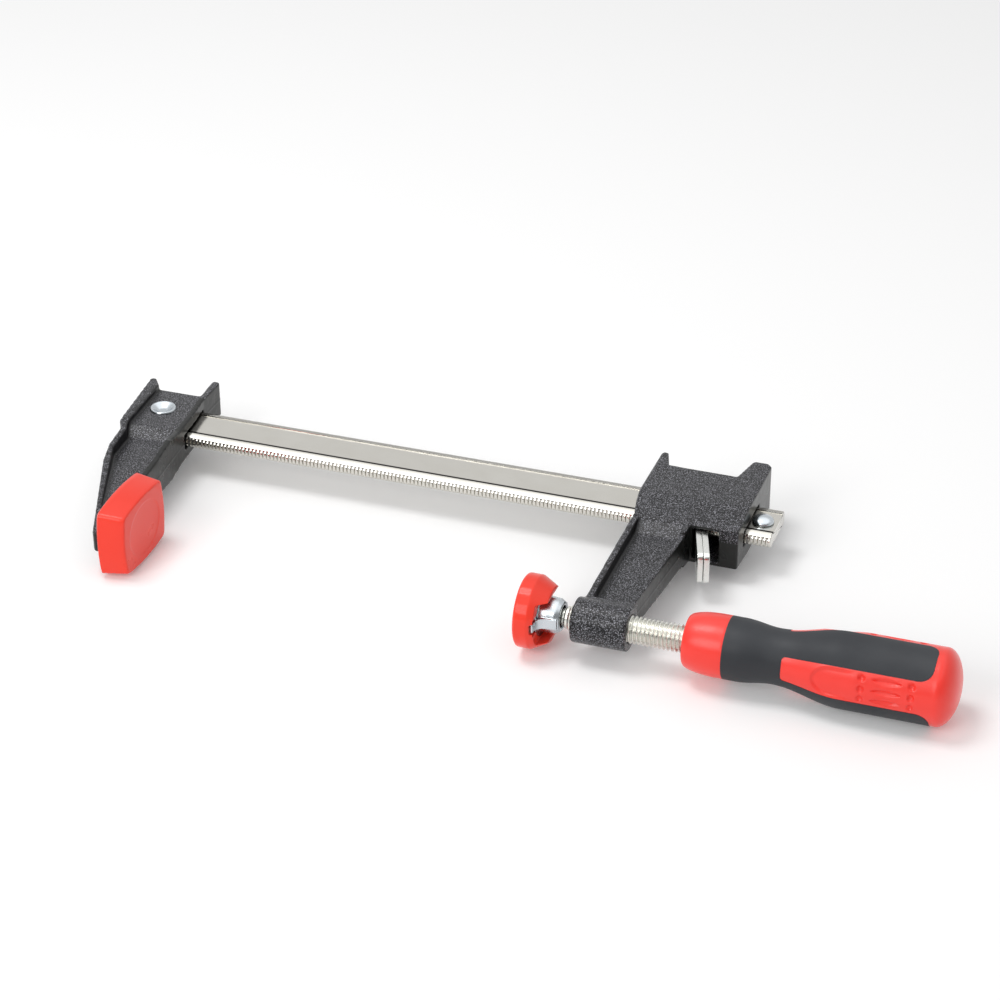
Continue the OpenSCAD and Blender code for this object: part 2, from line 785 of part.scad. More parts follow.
// Where the soft grip lies: a sleeve over the waist and three stripes with round ends
module grip_zone() {
    reach = grip_r + over;
    stripe_half = grip_r * sin(stripe_angle / 2) + 0.05;
    wedge_half = reach * tan(stripe_angle / 2);
    block([collar_x1, axis_y - reach, -reach], [panel_x0, axis_y + reach, reach]);
    for (turn = [0 : 120 : 240])
        translate([0, axis_y, 0])
            rotate([stripe_turn + turn, 0, 0])
                intersection() {
                    linear_extrude(reach)
                        stripe_outline(stripe_half);
                    along_x(panel_x0 - over, stripe_x1 + over)
                        polygon([[0, 0], [wedge_half, reach], [-wedge_half, reach]]);
                }
}

// Soft overmould: what lies in the grip's zone between the two outlines
module grip_shape() {
    intersection() {
        difference() {
            handle_solid(0);
            handle_solid(grip_t);
        }
        grip_zone();
    }
}

module handle_grip() {
    color(rubber_col)
        grip_shape();
}

// Hard core of the handle, moulded round the spindle's tang
module handle_core() {
    color(red_col)
        difference() {
            handle_solid(0);
            grip_shape();
            rod(tang_r + snug, handle_x0 - over, handle_x0 + tang_len + 0.2);
        }
}

translate(frame_shift) {
    bar();
    fixed_jaw();
    head_rivet();
    fixed_pad();
    end_stop_rivet();
    sliding_jaw();
    clutch_plate_front();
    clutch_plate_rear();
    clutch_spring();
    spindle();
    retaining_ring();
    swivel_cup();
    swivel_pad();
    handle_core();
    handle_grip();
}
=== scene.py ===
"""Blender model of a clutch bar clamp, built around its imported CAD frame.

Shapes are drawn in millimetres in the drawing's frame: X runs along the bar from the first notch
beside the fixed jaw, Y from the notched edge to the bar's back, and Z up from the bar's middle
plane. in_frame() moves them into the row frame, in metres.
"""

from __future__ import annotations

import sys
import json
import logging
import math
from contextlib import contextmanager
from dataclasses import dataclass
from enum import Enum
from itertools import product
from typing import Callable, Iterator, Sequence

import bmesh
import bpy
import numpy as np
from mathutils import Matrix, Vector
from mathutils.kdtree import KDTree

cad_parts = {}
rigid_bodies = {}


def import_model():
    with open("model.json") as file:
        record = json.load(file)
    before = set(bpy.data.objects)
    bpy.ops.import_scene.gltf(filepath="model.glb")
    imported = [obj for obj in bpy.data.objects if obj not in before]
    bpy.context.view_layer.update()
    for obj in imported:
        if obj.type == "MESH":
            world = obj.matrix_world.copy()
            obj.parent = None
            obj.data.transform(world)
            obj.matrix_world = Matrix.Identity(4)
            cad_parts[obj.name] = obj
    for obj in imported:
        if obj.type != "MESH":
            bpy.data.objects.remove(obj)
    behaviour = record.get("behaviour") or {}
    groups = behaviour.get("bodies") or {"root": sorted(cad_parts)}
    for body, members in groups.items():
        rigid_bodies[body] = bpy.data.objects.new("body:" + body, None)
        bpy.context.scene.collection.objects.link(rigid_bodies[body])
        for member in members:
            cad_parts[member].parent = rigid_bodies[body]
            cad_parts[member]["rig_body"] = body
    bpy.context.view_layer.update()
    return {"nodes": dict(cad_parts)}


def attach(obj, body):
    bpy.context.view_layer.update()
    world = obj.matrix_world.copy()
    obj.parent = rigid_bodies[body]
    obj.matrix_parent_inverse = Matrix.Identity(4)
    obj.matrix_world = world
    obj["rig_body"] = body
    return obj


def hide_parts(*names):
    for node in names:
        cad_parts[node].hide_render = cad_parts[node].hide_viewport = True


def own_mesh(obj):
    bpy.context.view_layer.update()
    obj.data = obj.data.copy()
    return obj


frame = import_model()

MM = 0.001
SHIFT = np.array([-138.35, 22.4, 14.0])  # mm, from the drawing's frame to the row frame
AXIS_Y = -70.8  # mm, height of the spindle's axis in the drawing
RECESS_SHADE = 2.6  # mm, how far painted shade reaches from a flange onto the web beside it
BEAD, BEAD_HALF = 0.11, 0.5  # mm, height and half width of a casting's parting line
FAR = 15.0  # mm, beyond the swivel pad in any direction from the spindle's axis
SECTOR = 120.0  # degrees from one stripe of the handle to the next
LOG = logging.getLogger("bar_clamp")

Points = np.ndarray
Faces = list[tuple[int, ...]]
Pair = tuple[float, float]
Piece, Mesh, Material = bpy.types.Object, bpy.types.Mesh, bpy.types.Material
Node, Tree, Socket = bpy.types.Node, bpy.types.NodeTree, bpy.types.NodeSocket

MATH, MIX, RANGE = "ShaderNodeMath", "ShaderNodeMix", "ShaderNodeMapRange"
NOISE, BUMP, MARK = "ShaderNodeTexNoise", "ShaderNodeBump", "ShaderNodeAttribute"
RGBA = {"data_type": "RGBA"}


# Small tools for numbers and meshes ------------------------------------------------------------


def in_frame(points: Points | Sequence) -> Points:
    """Moves drawing points in millimetres into the row frame in metres."""
    return (np.asarray(points, float) + SHIFT) * MM


def smoothstep(low: float, high: float, value: Points) -> Points:
    """Eases a value from 0 at low to 1 at high."""
    t = np.clip((np.asarray(value, float) - low) / (high - low), 0, 1)
    return t * t * (3 - 2 * t)


def cosine_blend(start: float, end: float, t: Points) -> Points:
    """Half a cosine wave from start to end while t goes from 0 to 1."""
    return start + (end - start) * (1 - np.cos(np.pi * t.clip(0, 1))) / 2


def rounded(points: Sequence[Sequence[float]], radius: float, steps: int = 4) -> Points:
    """Rounds the inner corners of an open outline with short curves.

    Args:
        points: Corners of the outline in two dimensions.
        radius: How far from a corner its curve starts.
        steps: Number of straight pieces in each curve.

    Returns:
        The points of the rounded outline.
    """
    corners = np.asarray(points, float)
    out = [corners[0]]
    for before, corner, after in zip(corners, corners[1:], corners[2:]):
        legs = [before - corner, after - corner]
        lengths = [np.linalg.norm(leg) for leg in legs]
        cut = min(radius, 0.45 * min(lengths))
        first, last = (corner + leg / size * cut for leg, size in zip(legs, lengths))
        for t in np.linspace(0, 1, steps + 1):
            out.append((1 - t) ** 2 * first + 2 * t * (1 - t) * corner + t * t * last)
    return np.array([*out, corners[-1]])


def strip_faces(rows: int, count: int, closed: bool) -> Faces:
    """Joins rows of equally many points by four-sided faces.

    Args:
        rows: Number of rows.
        count: Number of points in each row.
        closed: Whether each row is a ring.

    Returns:
        The faces as indices into the points, row by row.
    """
    faces: Faces = []
    for level in range(rows - 1):
        for i in range(count if closed else count - 1):
            a, b = level * count + i, level * count + (i + 1) % count
            faces.append((a, b, b + count, a + count))
    return faces


def loft(rings: Sequence[Points], caps: bool = True) -> tuple[Points, Faces]:
    """Joins closed rings of equally many points into one skin.

    Args:
        rings: The rings, in order.
        caps: Whether the first and last ring are closed by a fan.

    Returns:
        The skin's points and faces.
    """
    count = len(rings[0])
    points = [point for ring in rings for point in ring]
    faces = strip_faces(len(rings), count, True)
    for start, flip in ((0, True), ((len(rings) - 1) * count, False)) if caps else ():
        centre = len(points)
        points.append(np.mean(rings[0 if flip else -1], axis=0))
        for i in range(count):
            a, b = start + i, start + (i + 1) % count
            faces.append((b, a, centre) if flip else (a, b, centre))
    return np.array(points), faces


def turned(
    profile: Sequence[Sequence[float]], segments: int, place: Callable[..., list[float]]
) -> tuple[Points, Faces]:
    """Turns a profile about an axis.

    Args:
        profile: Points as (radius, distance along the axis).
        segments: Number of steps around the axis.
        place: Gives a drawing point from the distance and the two cross coordinates.

    Returns:
        The turned skin's points and faces.
    """
    angles = np.linspace(0, 2 * np.pi, segments, endpoint=False)
    rings = [
        np.array([place(along, r * math.cos(a), r * math.sin(a)) for a in angles])
        for r, along in profile
    ]
    return loft(rings, caps=False)


def mirrored(upper: Sequence[Sequence[float]]) -> list[Sequence[float]]:
    """Completes the upper half of a turned profile with its lower half."""
    return [(r, -z) for r, z in reversed(upper)] + list(upper)


def at_x(x: float, ring: Points) -> Points:
    """Stands a ring of (Y, Z) points up at X."""
    return np.column_stack([np.full(len(ring), x), ring])


def on_spindle(along: float, across: float, up: float) -> list[float]:
    """Point beside the spindle's axis."""
    return [along, AXIS_Y + across, up]


def link(name: str, data: bpy.types.ID) -> Piece:
    """Puts a mesh, lamp or camera into the scene as an object at the origin."""
    piece = bpy.data.objects.new(name, data)
    bpy.context.scene.collection.objects.link(piece)
    return piece


@contextmanager
def editing(mesh: Mesh) -> Iterator[bmesh.types.BMesh]:
    """Opens a mesh for editing and writes the result back.

    Args:
        mesh: The mesh to edit.

    Returns:
        The mesh's editable form, for a with statement.
    """
    work = bmesh.new()
    work.from_mesh(mesh)
    yield work
    work.to_mesh(mesh)
    work.free()


def shade(mesh: Mesh, sharp: float) -> None:
    """Shades a mesh smooth but for edges sharper than an angle in degrees."""
    mesh.shade_smooth()
    mesh.set_sharp_from_angle(angle=math.radians(sharp))


def solid(name: str, points: Points, faces: Faces, sharp: float = 40.0) -> Piece:
    """Makes a closed piece from drawing points, with its faces turned outwards.

    Args:
        name: Name of the piece.
        points: Points in the drawing's frame.
        faces: Faces as indices into the points.
        sharp: Angle in degrees above which an edge stays crisp.

    Returns:
        The new piece.
    """
    mesh = bpy.data.meshes.new(name)
    mesh.from_pydata(in_frame(points).tolist(), [], faces)
    with editing(mesh) as work:
        bmesh.ops.remove_doubles(work, verts=work.verts, dist=1e-7)
        bmesh.ops.recalc_face_normals(work, faces=work.faces)
    shade(mesh, sharp)
    return link(name, mesh)


def cad_copy(name: str, node: str, flat: bool = False) -> Piece:
    """Copies a CAD node's mesh and merges its loose triangles.

    Args:
        name: Name of the new piece.
        node: The CAD node to copy.
        flat: Whether triangles in one plane are joined.

    Returns:
        The new piece.
    """
    mesh = frame["nodes"][node].data.copy()
    mesh.name = name
    mesh.materials.clear()
    with editing(mesh) as work:
        bmesh.ops.remove_doubles(work, verts=work.verts, dist=2e-7)
        if flat:
            bmesh.ops.dissolve_limit(
                work, angle_limit=math.radians(1), verts=work.verts, edges=work.edges
            )
    return link(name, mesh)


def bake(piece: Piece) -> None:
    """Turns a piece's modifiers into its plain mesh and removes them."""
    graph = bpy.context.evaluated_depsgraph_get()
    mesh = bpy.data.meshes.new_from_object(piece.evaluated_get(graph))
    piece.modifiers.clear()
    piece.data = mesh


def add_modifier(piece: Piece, kind: str, **settings: object) -> None:
    """Adds a modifier with its settings."""
    modifier = piece.modifiers.new(kind.lower(), kind)
    for key, value in settings.items():
        setattr(modifier, key, value)


def cast_skin(piece: Piece, voxel: float, rounds: int) -> None:
    """Gives a piece the soft edges and fillets of a casting or moulding.

    Args:
        piece: The piece, with crisp edges.
        voxel: Grid size in millimetres, which sets how round the edges get.
        rounds: How often the new skin is smoothed.
    """
    add_modifier(piece, "REMESH", mode="VOXEL", voxel_size=voxel * MM, adaptivity=0.0)
    add_modifier(piece, "SMOOTH", factor=0.5, iterations=rounds)
    bake(piece)
    shade(piece.data, 180)


def merge_in(piece: Piece, extra: Piece) -> None:
    """Adds the mesh of a second piece to a piece and removes the second one."""
    with editing(piece.data) as work:
        work.from_mesh(extra.data)
    bpy.data.objects.remove(extra)


def surface(mesh: Mesh) -> tuple[Points, Points]:
    """Reads a mesh: one row each for X, Y and Z in the drawing's frame, and its normals."""
    points, normals = np.zeros((2, len(mesh.vertices) * 3), np.float32)
    mesh.vertices.foreach_get("co", points)
    mesh.vertex_normals.foreach_get("vector", normals)
    return (points.reshape(-1, 3) / MM - SHIFT).T, normals.reshape(-1, 3)


def mark(mesh: Mesh, name: str, values: Points) -> None:
    """Stores a number at each point of a mesh, for its material."""
    attribute = mesh.attributes.new(name, "FLOAT", "POINT")
    attribute.data.foreach_set("value", values.astype(np.float32))


# Node trees ------------------------------------------------------------------------------------


def add_node(
    tree: Tree,
    kind: str,
    settings: dict | None = None,
    values: dict | None = None,
    links: dict | None = None,
) -> Node:
    """Adds one node with its settings, socket values and incoming links.

    Args:
        tree: The tree that the node goes into.
        kind: Blender's name of the node type.
        settings: Properties of the node.
        values: Values of its input sockets, by name or number.
        links: Output sockets that feed its input sockets, by name or number.

    Returns:
        The new node.
    """
    node = tree.nodes.new(kind)
    for key, value in (settings or {}).items():
        setattr(node, key, value)
    for key, value in (values or {}).items():
        node.inputs[key].default_value = value
    for key, source in (links or {}).items():
        tree.links.new(source, node.inputs[key])
    return node


def add_chain(tree: Tree, kind: str, *steps: tuple) -> Socket:
    """Adds nodes of one kind in a chain, where None stands for the result of the one before.

    Args:
        tree: The tree that the nodes go into.
        kind: Blender's name of the node type.
        steps: An operation each, with its operands: numbers, sockets or None.

    Returns:
        The socket with the result.
    """
    result = None
    for operation, *operands in steps:
        values, links = {}, {}
        for i, operand in enumerate(operands):
            operand = result if operand is None else operand
            (links if isinstance(operand, Socket) else values)[i] = operand
        node = add_node(tree, kind, {"operation": operation}, values, links)
        result = node.outputs[0]
    return result


def geometry_tree(name: str, inputs: dict[str, float]) -> tuple[Tree, dict[str, Socket]]:
    """Starts a geometry tree with one geometry socket each way and named number inputs.

    Args:
        name: Name of the tree.
        inputs: Names and default values of the number inputs, in metres.

    Returns:
        The tree and its input sockets by name.
    """
    tree = bpy.data.node_groups.new(name, "GeometryNodeTree")
    for way in ("OUTPUT", "INPUT"):
        tree.interface.new_socket("Geometry", in_out=way, socket_type="NodeSocketGeometry")
    for label, value in inputs.items():
        socket = tree.interface.new_socket(label, in_out="INPUT", socket_type="NodeSocketFloat")
        socket.default_value = value
    source = add_node(tree, "NodeGroupInput")
    return tree, {socket.name: socket for socket in source.outputs if socket.name}


def coordinates(tree: Tree) -> tuple[Socket, Socket, Socket]:
    """Adds the X, Y and Z of each point to a geometry tree."""
    place = add_node(tree, "GeometryNodeInputPosition")
    return tuple(add_node(tree, "ShaderNodeSeparateXYZ", links={0: place.outputs[0]}).outputs)


def close_tree(tree: Tree, shape: Socket, material: Material) -> Tree:
    """Ends a geometry tree in Realize Instances and Set Material.

    Args:
        tree: The tree to end.
        shape: The socket with the finished geometry.
        material: The material that the geometry gets.

    Returns:
        The finished tree.
    """
    real = add_node(tree, "GeometryNodeRealizeInstances", links={"Geometry": shape})
    painted = add_node(
        tree, "GeometryNodeSetMaterial", None, {"Material": material}, {"Geometry": real.outputs[0]}
    )
    add_node(tree, "NodeGroupOutput", links={0: painted.outputs[0]})
    return tree


def run_tree(piece: Piece, tree: Tree, inputs: dict[str, float], sharp: float) -> None:
    """Runs a geometry tree on a piece and keeps the result as its plain mesh.

    Args:
        piece: The piece that the tree shapes.
        tree: The geometry tree.
        inputs: Values of the tree's named inputs, in metres.
        sharp: Angle in degrees above which an edge stays crisp.
    """
    modifier = piece.modifiers.new(tree.name, "NODES")
    modifier.node_group = tree
    for item in tree.interface.items_tree:
        if item.in_out == "INPUT" and item.name in inputs:
            modifier[item.identifier] = inputs[item.name]
    bake(piece)
    shade(piece.data, sharp)


def notch_tree(material: Material) -> Tree:
    """Rule that cuts a row of notches into the edge of a bar that lies along X.

    Args:
        material: The bar's material.

    Returns:
        The geometry tree.
    """
    names = {"Pitch": 0.0015, "Depth": 0.0007, "Mouth": 0.0009}
    names.update({"Notch X": 0.0, "Last X": 0.0, "Edge Y": 0.0})
    tree, sockets = geometry_tree("Notch row", names)
    x, y, z = coordinates(tree)
    half_mouth = add_chain(tree, MATH, ("MULTIPLY", sockets["Mouth"], 0.5))
    quarter = add_chain(tree, MATH, ("MULTIPLY", sockets["Mouth"], 0.25))
    from_middle = add_chain(
        tree,
        MATH,
        ("SUBTRACT", x, sockets["Notch X"]),
        ("DIVIDE", None, sockets["Pitch"]),
        ("ADD", None, 0.5),
        ("FRACT", None, 0.0),
        ("SUBTRACT", None, 0.5),
        ("ABSOLUTE", None, 0.0),
        ("MULTIPLY", None, sockets["Pitch"]),
    )
    in_row = add_chain(tree, MATH, ("LESS_THAN", x, sockets["Last X"]))
    floor_y = add_chain(
        tree,
        MATH,
        ("SUBTRACT", half_mouth, from_middle),
        ("DIVIDE", None, quarter),
        ("MINIMUM", None, 1.0),
        ("MAXIMUM", None, 0.0),
        ("MULTIPLY", None, in_row),
        ("MULTIPLY", None, sockets["Depth"]),
        ("ADD", None, sockets["Edge Y"]),
        ("MAXIMUM", None, y),
    )
    moved = add_node(tree, "ShaderNodeCombineXYZ", links={"X": x, "Y": floor_y, "Z": z})
    places = {"Geometry": sockets["Geometry"], "Position": moved.outputs[0]}
    shaped = add_node(tree, "GeometryNodeSetPosition", links=places)
    return close_tree(tree, shaped.outputs[0], material)


def thread_tree(material: Material) -> Tree:
    """Rule that sinks a right-hand thread into a shaft that lies along X.

    Args:
        material: The shaft's material.

    Returns:
        The geometry tree.
    """
    names = {"Pitch": 0.0015, "Depth": 0.0009, "Axis Y": 0.0, "Axis Z": 0.0}
    names.update({"Start X": 0.0, "End X": 0.0, "Run-out": 0.0012})
    tree, sockets = geometry_tree("Screw thread", names)
    x, y, z = coordinates(tree)
    across = add_chain(tree, MATH, ("SUBTRACT", y, sockets["Axis Y"]))
    up = add_chain(tree, MATH, ("SUBTRACT", z, sockets["Axis Z"]))
    turn = add_chain(tree, MATH, ("ARCTAN2", up, across), ("DIVIDE", None, 2 * math.pi))
    clamped = (("MINIMUM", None, 1.0), ("MAXIMUM", None, 0.0))
    # A wave from 0 at the crest to 1 at the root, flattened at both
    groove = add_chain(
        tree,
        MATH,
        ("DIVIDE", x, sockets["Pitch"]),
        ("SUBTRACT", None, turn),
        ("FRACT", None, 0.0),
        ("MULTIPLY", None, 2.0),
        ("SUBTRACT", None, 1.0),
        ("ABSOLUTE", None, 0.0),
        ("MULTIPLY", None, 1.25),
        ("SUBTRACT", None, 0.125),
        *clamped,
    )
    ends = [
        add_chain(tree, MATH, ("SUBTRACT", *pair), ("DIVIDE", None, sockets["Run-out"]), *clamped)
        for pair in ((x, sockets["Start X"]), (sockets["End X"], x))
    ]
    sunk = add_chain(
        tree,
        MATH,
        ("MULTIPLY", groove, sockets["Depth"]),
        ("MULTIPLY", None, ends[0]),
        ("MULTIPLY", None, ends[1]),
        ("MULTIPLY", None, -1.0),
    )
    outward = add_node(tree, "ShaderNodeCombineXYZ", links={"Y": across, "Z": up})
    kind = "ShaderNodeVectorMath"
    unit = add_node(tree, kind, {"operation": "NORMALIZE"}, links={0: outward.outputs[0]})
    ways = {0: unit.outputs[0], "Scale": sunk}
    push = add_node(tree, kind, {"operation": "SCALE"}, links=ways)
    places = {"Geometry": sockets["Geometry"], "Offset": push.outputs[0]}
    shaped = add_node(tree, "GeometryNodeSetPosition", links=places)
    return close_tree(tree, shaped.outputs[0], material)


def wire_tree(material: Material) -> Tree:
    """Rule that draws a round wire along the edges of a path.

    Args:
        material: The wire's material.

    Returns:
        The geometry tree.
    """
    tree, sockets = geometry_tree("Round wire", {"Wire radius": 0.00025})
    path = add_node(tree, "GeometryNodeMeshToCurve", links={0: sockets["Geometry"]})
    ring = add_node(
        tree,
        "GeometryNodeCurvePrimitiveCircle",
        {"mode": "RADIUS"},
        {"Resolution": 12},
        {"Radius": sockets["Wire radius"]},
    )
    curves = {"Curve": path.outputs[0], "Profile Curve": ring.outputs[0]}
    wire = add_node(tree, "GeometryNodeCurveToMesh", None, {"Fill Caps": True}, curves)
    return close_tree(tree, wire.outputs[0], material)


def path_object(name: str, points: Points, closed: bool) -> Piece:
    """Makes a path of edges that a geometry tree can follow.

    Args:
        name: Name of the piece.
        points: The path's points in the drawing's frame.
        closed: Whether the last point joins the first.

    Returns:
        The new piece.
    """
    count = len(points)
    edges = [(i, (i + 1) % count) for i in range(count if closed else count - 1)]
    mesh = bpy.data.meshes.new(name)
    mesh.from_pydata(in_frame(points).tolist(), edges, [])
    return link(name, mesh)


# Finishes --------------------------------------------------------------------------------------


def linear(code: str) -> tuple[float, ...]:
    """Turns an sRGB hex colour such as "#C4C2BC" into Blender's linear one."""
    channels = [int(code[i : i + 2], 16) / 255 for i in (1, 3, 5)]
    return (*(c / 12.92 if c <= 0.04045 else ((c + 0.055) / 1.055) ** 2.4 for c in channels), 1.0)


def per_metre(millimetres: float) -> float:
    """Texture scale that makes one cell of a pattern so many millimetres wide."""
    return 1 / (millimetres * MM)


def blank_material(name: str) -> tuple[Material, Tree, Node, Socket]:
    """Starts a node material.

    Args:
        name: Name of the material.

    Returns:
        The material, its tree, a linked Principled BSDF and the Object coordinates.
    """
    material = bpy.data.materials.new(name)
    material.use_nodes = True
    tree = material.node_tree
    tree.nodes.clear()
    shader = add_node(tree, "ShaderNodeBsdfPrincipled")
    add_node(tree, "ShaderNodeOutputMaterial", links={"Surface": shader.outputs[0]})
    return material, tree, shader, add_node(tree, "ShaderNodeTexCoord").outputs["Object"]


def dress(tree: Tree, shader: Node, colour: Socket, roughness: Socket, normal: Socket) -> None:
    """Feeds a shader its colour, roughness and normal."""
    for name, source in (("Base Color", colour), ("Roughness", roughness), ("Normal", normal)):
        tree.links.new(source, shader.inputs[name])


@dataclass(frozen=True)
class WrinkleCoat:
    """Black polyester powder coat, sprayed on cast iron and baked until it wrinkles.

    The eye sees charcoal with a tight grain of bright and dark specks, because each wrinkle
    throws its own small highlight; these highlights are painted into the colour as light specks.
    Walls that the mould left smooth keep a plain grey skin, and the walls of the recesses and the
    web beside them get painted shade, nearly black.
    """

    valley: str = "#0B0B0D"
    # painted glint: light grey colour on the tops of the wrinkles
    painted_glint: str = "#96969D"
    wall: str = "#1D1E1D"
    # painted shade colour for recessed walls and the web beside them
    recess_shade_colour: str = "#0D0D0F"
    grain_mm: float = 0.43  # as fine as one pixel of the photograph can show
    swell_mm: float = 5.0
    cell_share: float = -0.35  # how much of the height comes from the cells between wrinkles
    glint_from: Pair = (0.28, 0.52)
    glint_power: float = 1.8
    wrinkle_m: float = 0.00008
    swell_m: float = 0.0006
    sheen: Pair = (0.22, 0.36)
    specular: float = 0.24

    def make(self) -> Material:
        """Builds the material.

        Returns:
            The finished material.
        """
        material, tree, shader, place = blank_material("wrinkle_powder_coat_on_cast_iron")
        shader.inputs["Specular IOR Level"].default_value = self.specular
        wall = add_node(tree, MARK, {"attribute_name": "smooth_wall"}).outputs["Fac"]
        # painted shade in the recesses, from the mark made by mark_walls
        hollow = add_node(tree, MARK, {"attribute_name": "painted_recess_shade"}).outputs["Fac"]
        grain = add_node(
            tree,
            NOISE,
            None,
            {"Scale": per_metre(self.grain_mm), "Detail": 2.0, "Roughness": 0.6},
            {"Vector": place},
        )
        cells = add_node(
            tree,
            "ShaderNodeTexVoronoi",
            {"feature": "SMOOTH_F1"},
            {"Scale": per_metre(self.grain_mm * 1.15), "Smoothness": 0.4},
            {"Vector": place},
        )
        coarse = {"Scale": per_metre(self.swell_mm), "Detail": 2.0}
        swell = add_node(tree, NOISE, None, coarse, {"Vector": place}).outputs["Fac"]
        height = add_chain(
            tree,
            MATH,
            ("MULTIPLY", cells.outputs["Distance"], self.cell_share),
            ("ADD", None, grain.outputs["Fac"]),
        )
        low, high = self.glint_from
        peaks = add_node(tree, RANGE, None, {"From Min": low, "From Max": high}, {"Value": height})
        glints = add_chain(tree, MATH, ("POWER", peaks.outputs[0], self.glint_power))
        # Painted glints: the tops of the wrinkles are coloured light grey instead of shining
        ends = {6: linear(self.valley), 7: linear(self.painted_glint)}
        specks = add_node(tree, MIX, RGBA, ends, {0: glints})
        over = {0: wall, 6: specks.outputs[2]}
        skin = add_node(tree, MIX, RGBA, {7: linear(self.wall)}, over)
        over = {0: hollow, 6: skin.outputs[2]}
        shaded = add_node(tree, MIX, RGBA, {7: linear(self.recess_shade_colour)}, over)
        low, high = self.sheen
        sheen = add_node(tree, RANGE, None, {"To Min": low, "To Max": high}, {"Value": swell})
        rough_part = add_chain(tree, MATH, ("SUBTRACT", 1.0, wall))
        relief = {"Strength": rough_part, "Height": height}
        wrinkles = add_node(tree, BUMP, None, {"Distance": self.wrinkle_m}, relief)
        relief = {"Height": swell, "Normal": wrinkles.outputs[0]}
        waves = add_node(tree, BUMP, None, {"Strength": 0.25, "Distance": self.swell_m}, relief)
        dress(tree, shader, shaded.outputs[2], sheen.outputs[0], waves.outputs[0])
        return material


class Plating(Enum):
    """How a steel piece is plated: name, colour, cloud colour, roughness, streaks in mm."""

    BAR_NICKEL = ("drawn_steel_bar_nickel_plated", "#CDCBC5", "#C4C1BA", 0.15, (40.0, 0.35, 0.35))
    SCREW_NICKEL = ("rolled_thread_nickel_plated", "#D8D8D2", "#CECDC5", 0.27, (0.5, 3.0, 3.0))
    ZINC = ("pressed_steel_zinc_plated", "#C6CBCF", "#B2B9BF", 0.24, (2.2, 2.2, 2.2))
    LEAF_NICKEL = ("stamped_steel_leaf_nickel_plated", "#E0E1DE", "#D4D5D1", 0.22, (0.4, 6.0, 0.4))
    SPRING_WIRE = ("drawn_spring_wire_oiled", "#A9A9AC", "#8C8C90", 0.28, (1.0, 1.0, 1.0))


@dataclass(frozen=True)
class PlatedSteel:
    """Steel with a thin bright plating.

    The eye sees a mirror that is slightly blurred along the rolling or drawing direction, with
    faint clouds where the plating is thicker and a few handling scuffs. Painted shade darkens the
    marked corners and edges.
    its inner corners.
    """

    plating: Plating
    scuff_mm: float = 0.6
    scuff_share: float = 1.6
    cloud_mm: float = 9.0
    # painted shade colour for marked corners and edges
    painted_shade_colour: str = "#1C1A18"
    blur: Pair = (0.75, 1.35)  # shares of the roughness in the smooth and the rough streaks
    relief_m: float = 0.00003

    def make(self) -> Material:
        """Builds the material.

        Returns:
            The finished material.
        """
        name, colour, cloud, roughness, streak = self.plating.value
        material, tree, shader, place = blank_material(name)
        shader.inputs["Metallic"].default_value = 1.0
        stretch = add_node(
            tree,
            "ShaderNodeMapping",
            {"vector_type": "POINT"},
            {"Scale": [per_metre(size) for size in streak]},
            {"Vector": place},
        )
        fine = {"Scale": 1.0, "Detail": 4.0, "Roughness": 0.6}
        streaks = add_node(tree, NOISE, None, fine, {"Vector": stretch.outputs[0]}).outputs["Fac"]
        wide = {"Scale": per_metre(self.cloud_mm), "Detail": 2.0}
        clouds = add_node(tree, NOISE, None, wide, {"Vector": place}).outputs["Fac"]
        small = {"Scale": per_metre(self.scuff_mm), "Detail": 2.0}
        scuffs = add_node(tree, NOISE, None, small, {"Vector": place}).outputs["Fac"]
        ends = {6: linear(colour), 7: linear(cloud)}
        tint = add_node(tree, MIX, RGBA, ends, {0: clouds}).outputs[2]
        # painted shade where a piece marks it
        corner = add_node(tree, MARK, {"attribute_name": "painted_shade"}).outputs["Fac"]
        shade_ends = {7: linear(self.painted_shade_colour)}
        shade_painted = add_node(tree, MIX, RGBA, shade_ends, {0: corner, 6: tint})
        low, high = (roughness * share for share in self.blur)
        span = {"From Min": 0.3, "From Max": 0.7, "To Min": low, "To Max": high}
        blur = add_node(tree, RANGE, None, span, {"Value": streaks})
        relief = add_chain(
            tree, MATH, ("MULTIPLY", scuffs, self.scuff_share), ("ADD", None, streaks)
        )
        depth = {"Strength": 0.1, "Distance": self.relief_m}
        bump = add_node(tree, BUMP, None, depth, {"Height": relief})
        dress(tree, shader, shade_painted.outputs[2], blur.outputs[0], bump.outputs[0])
        return material


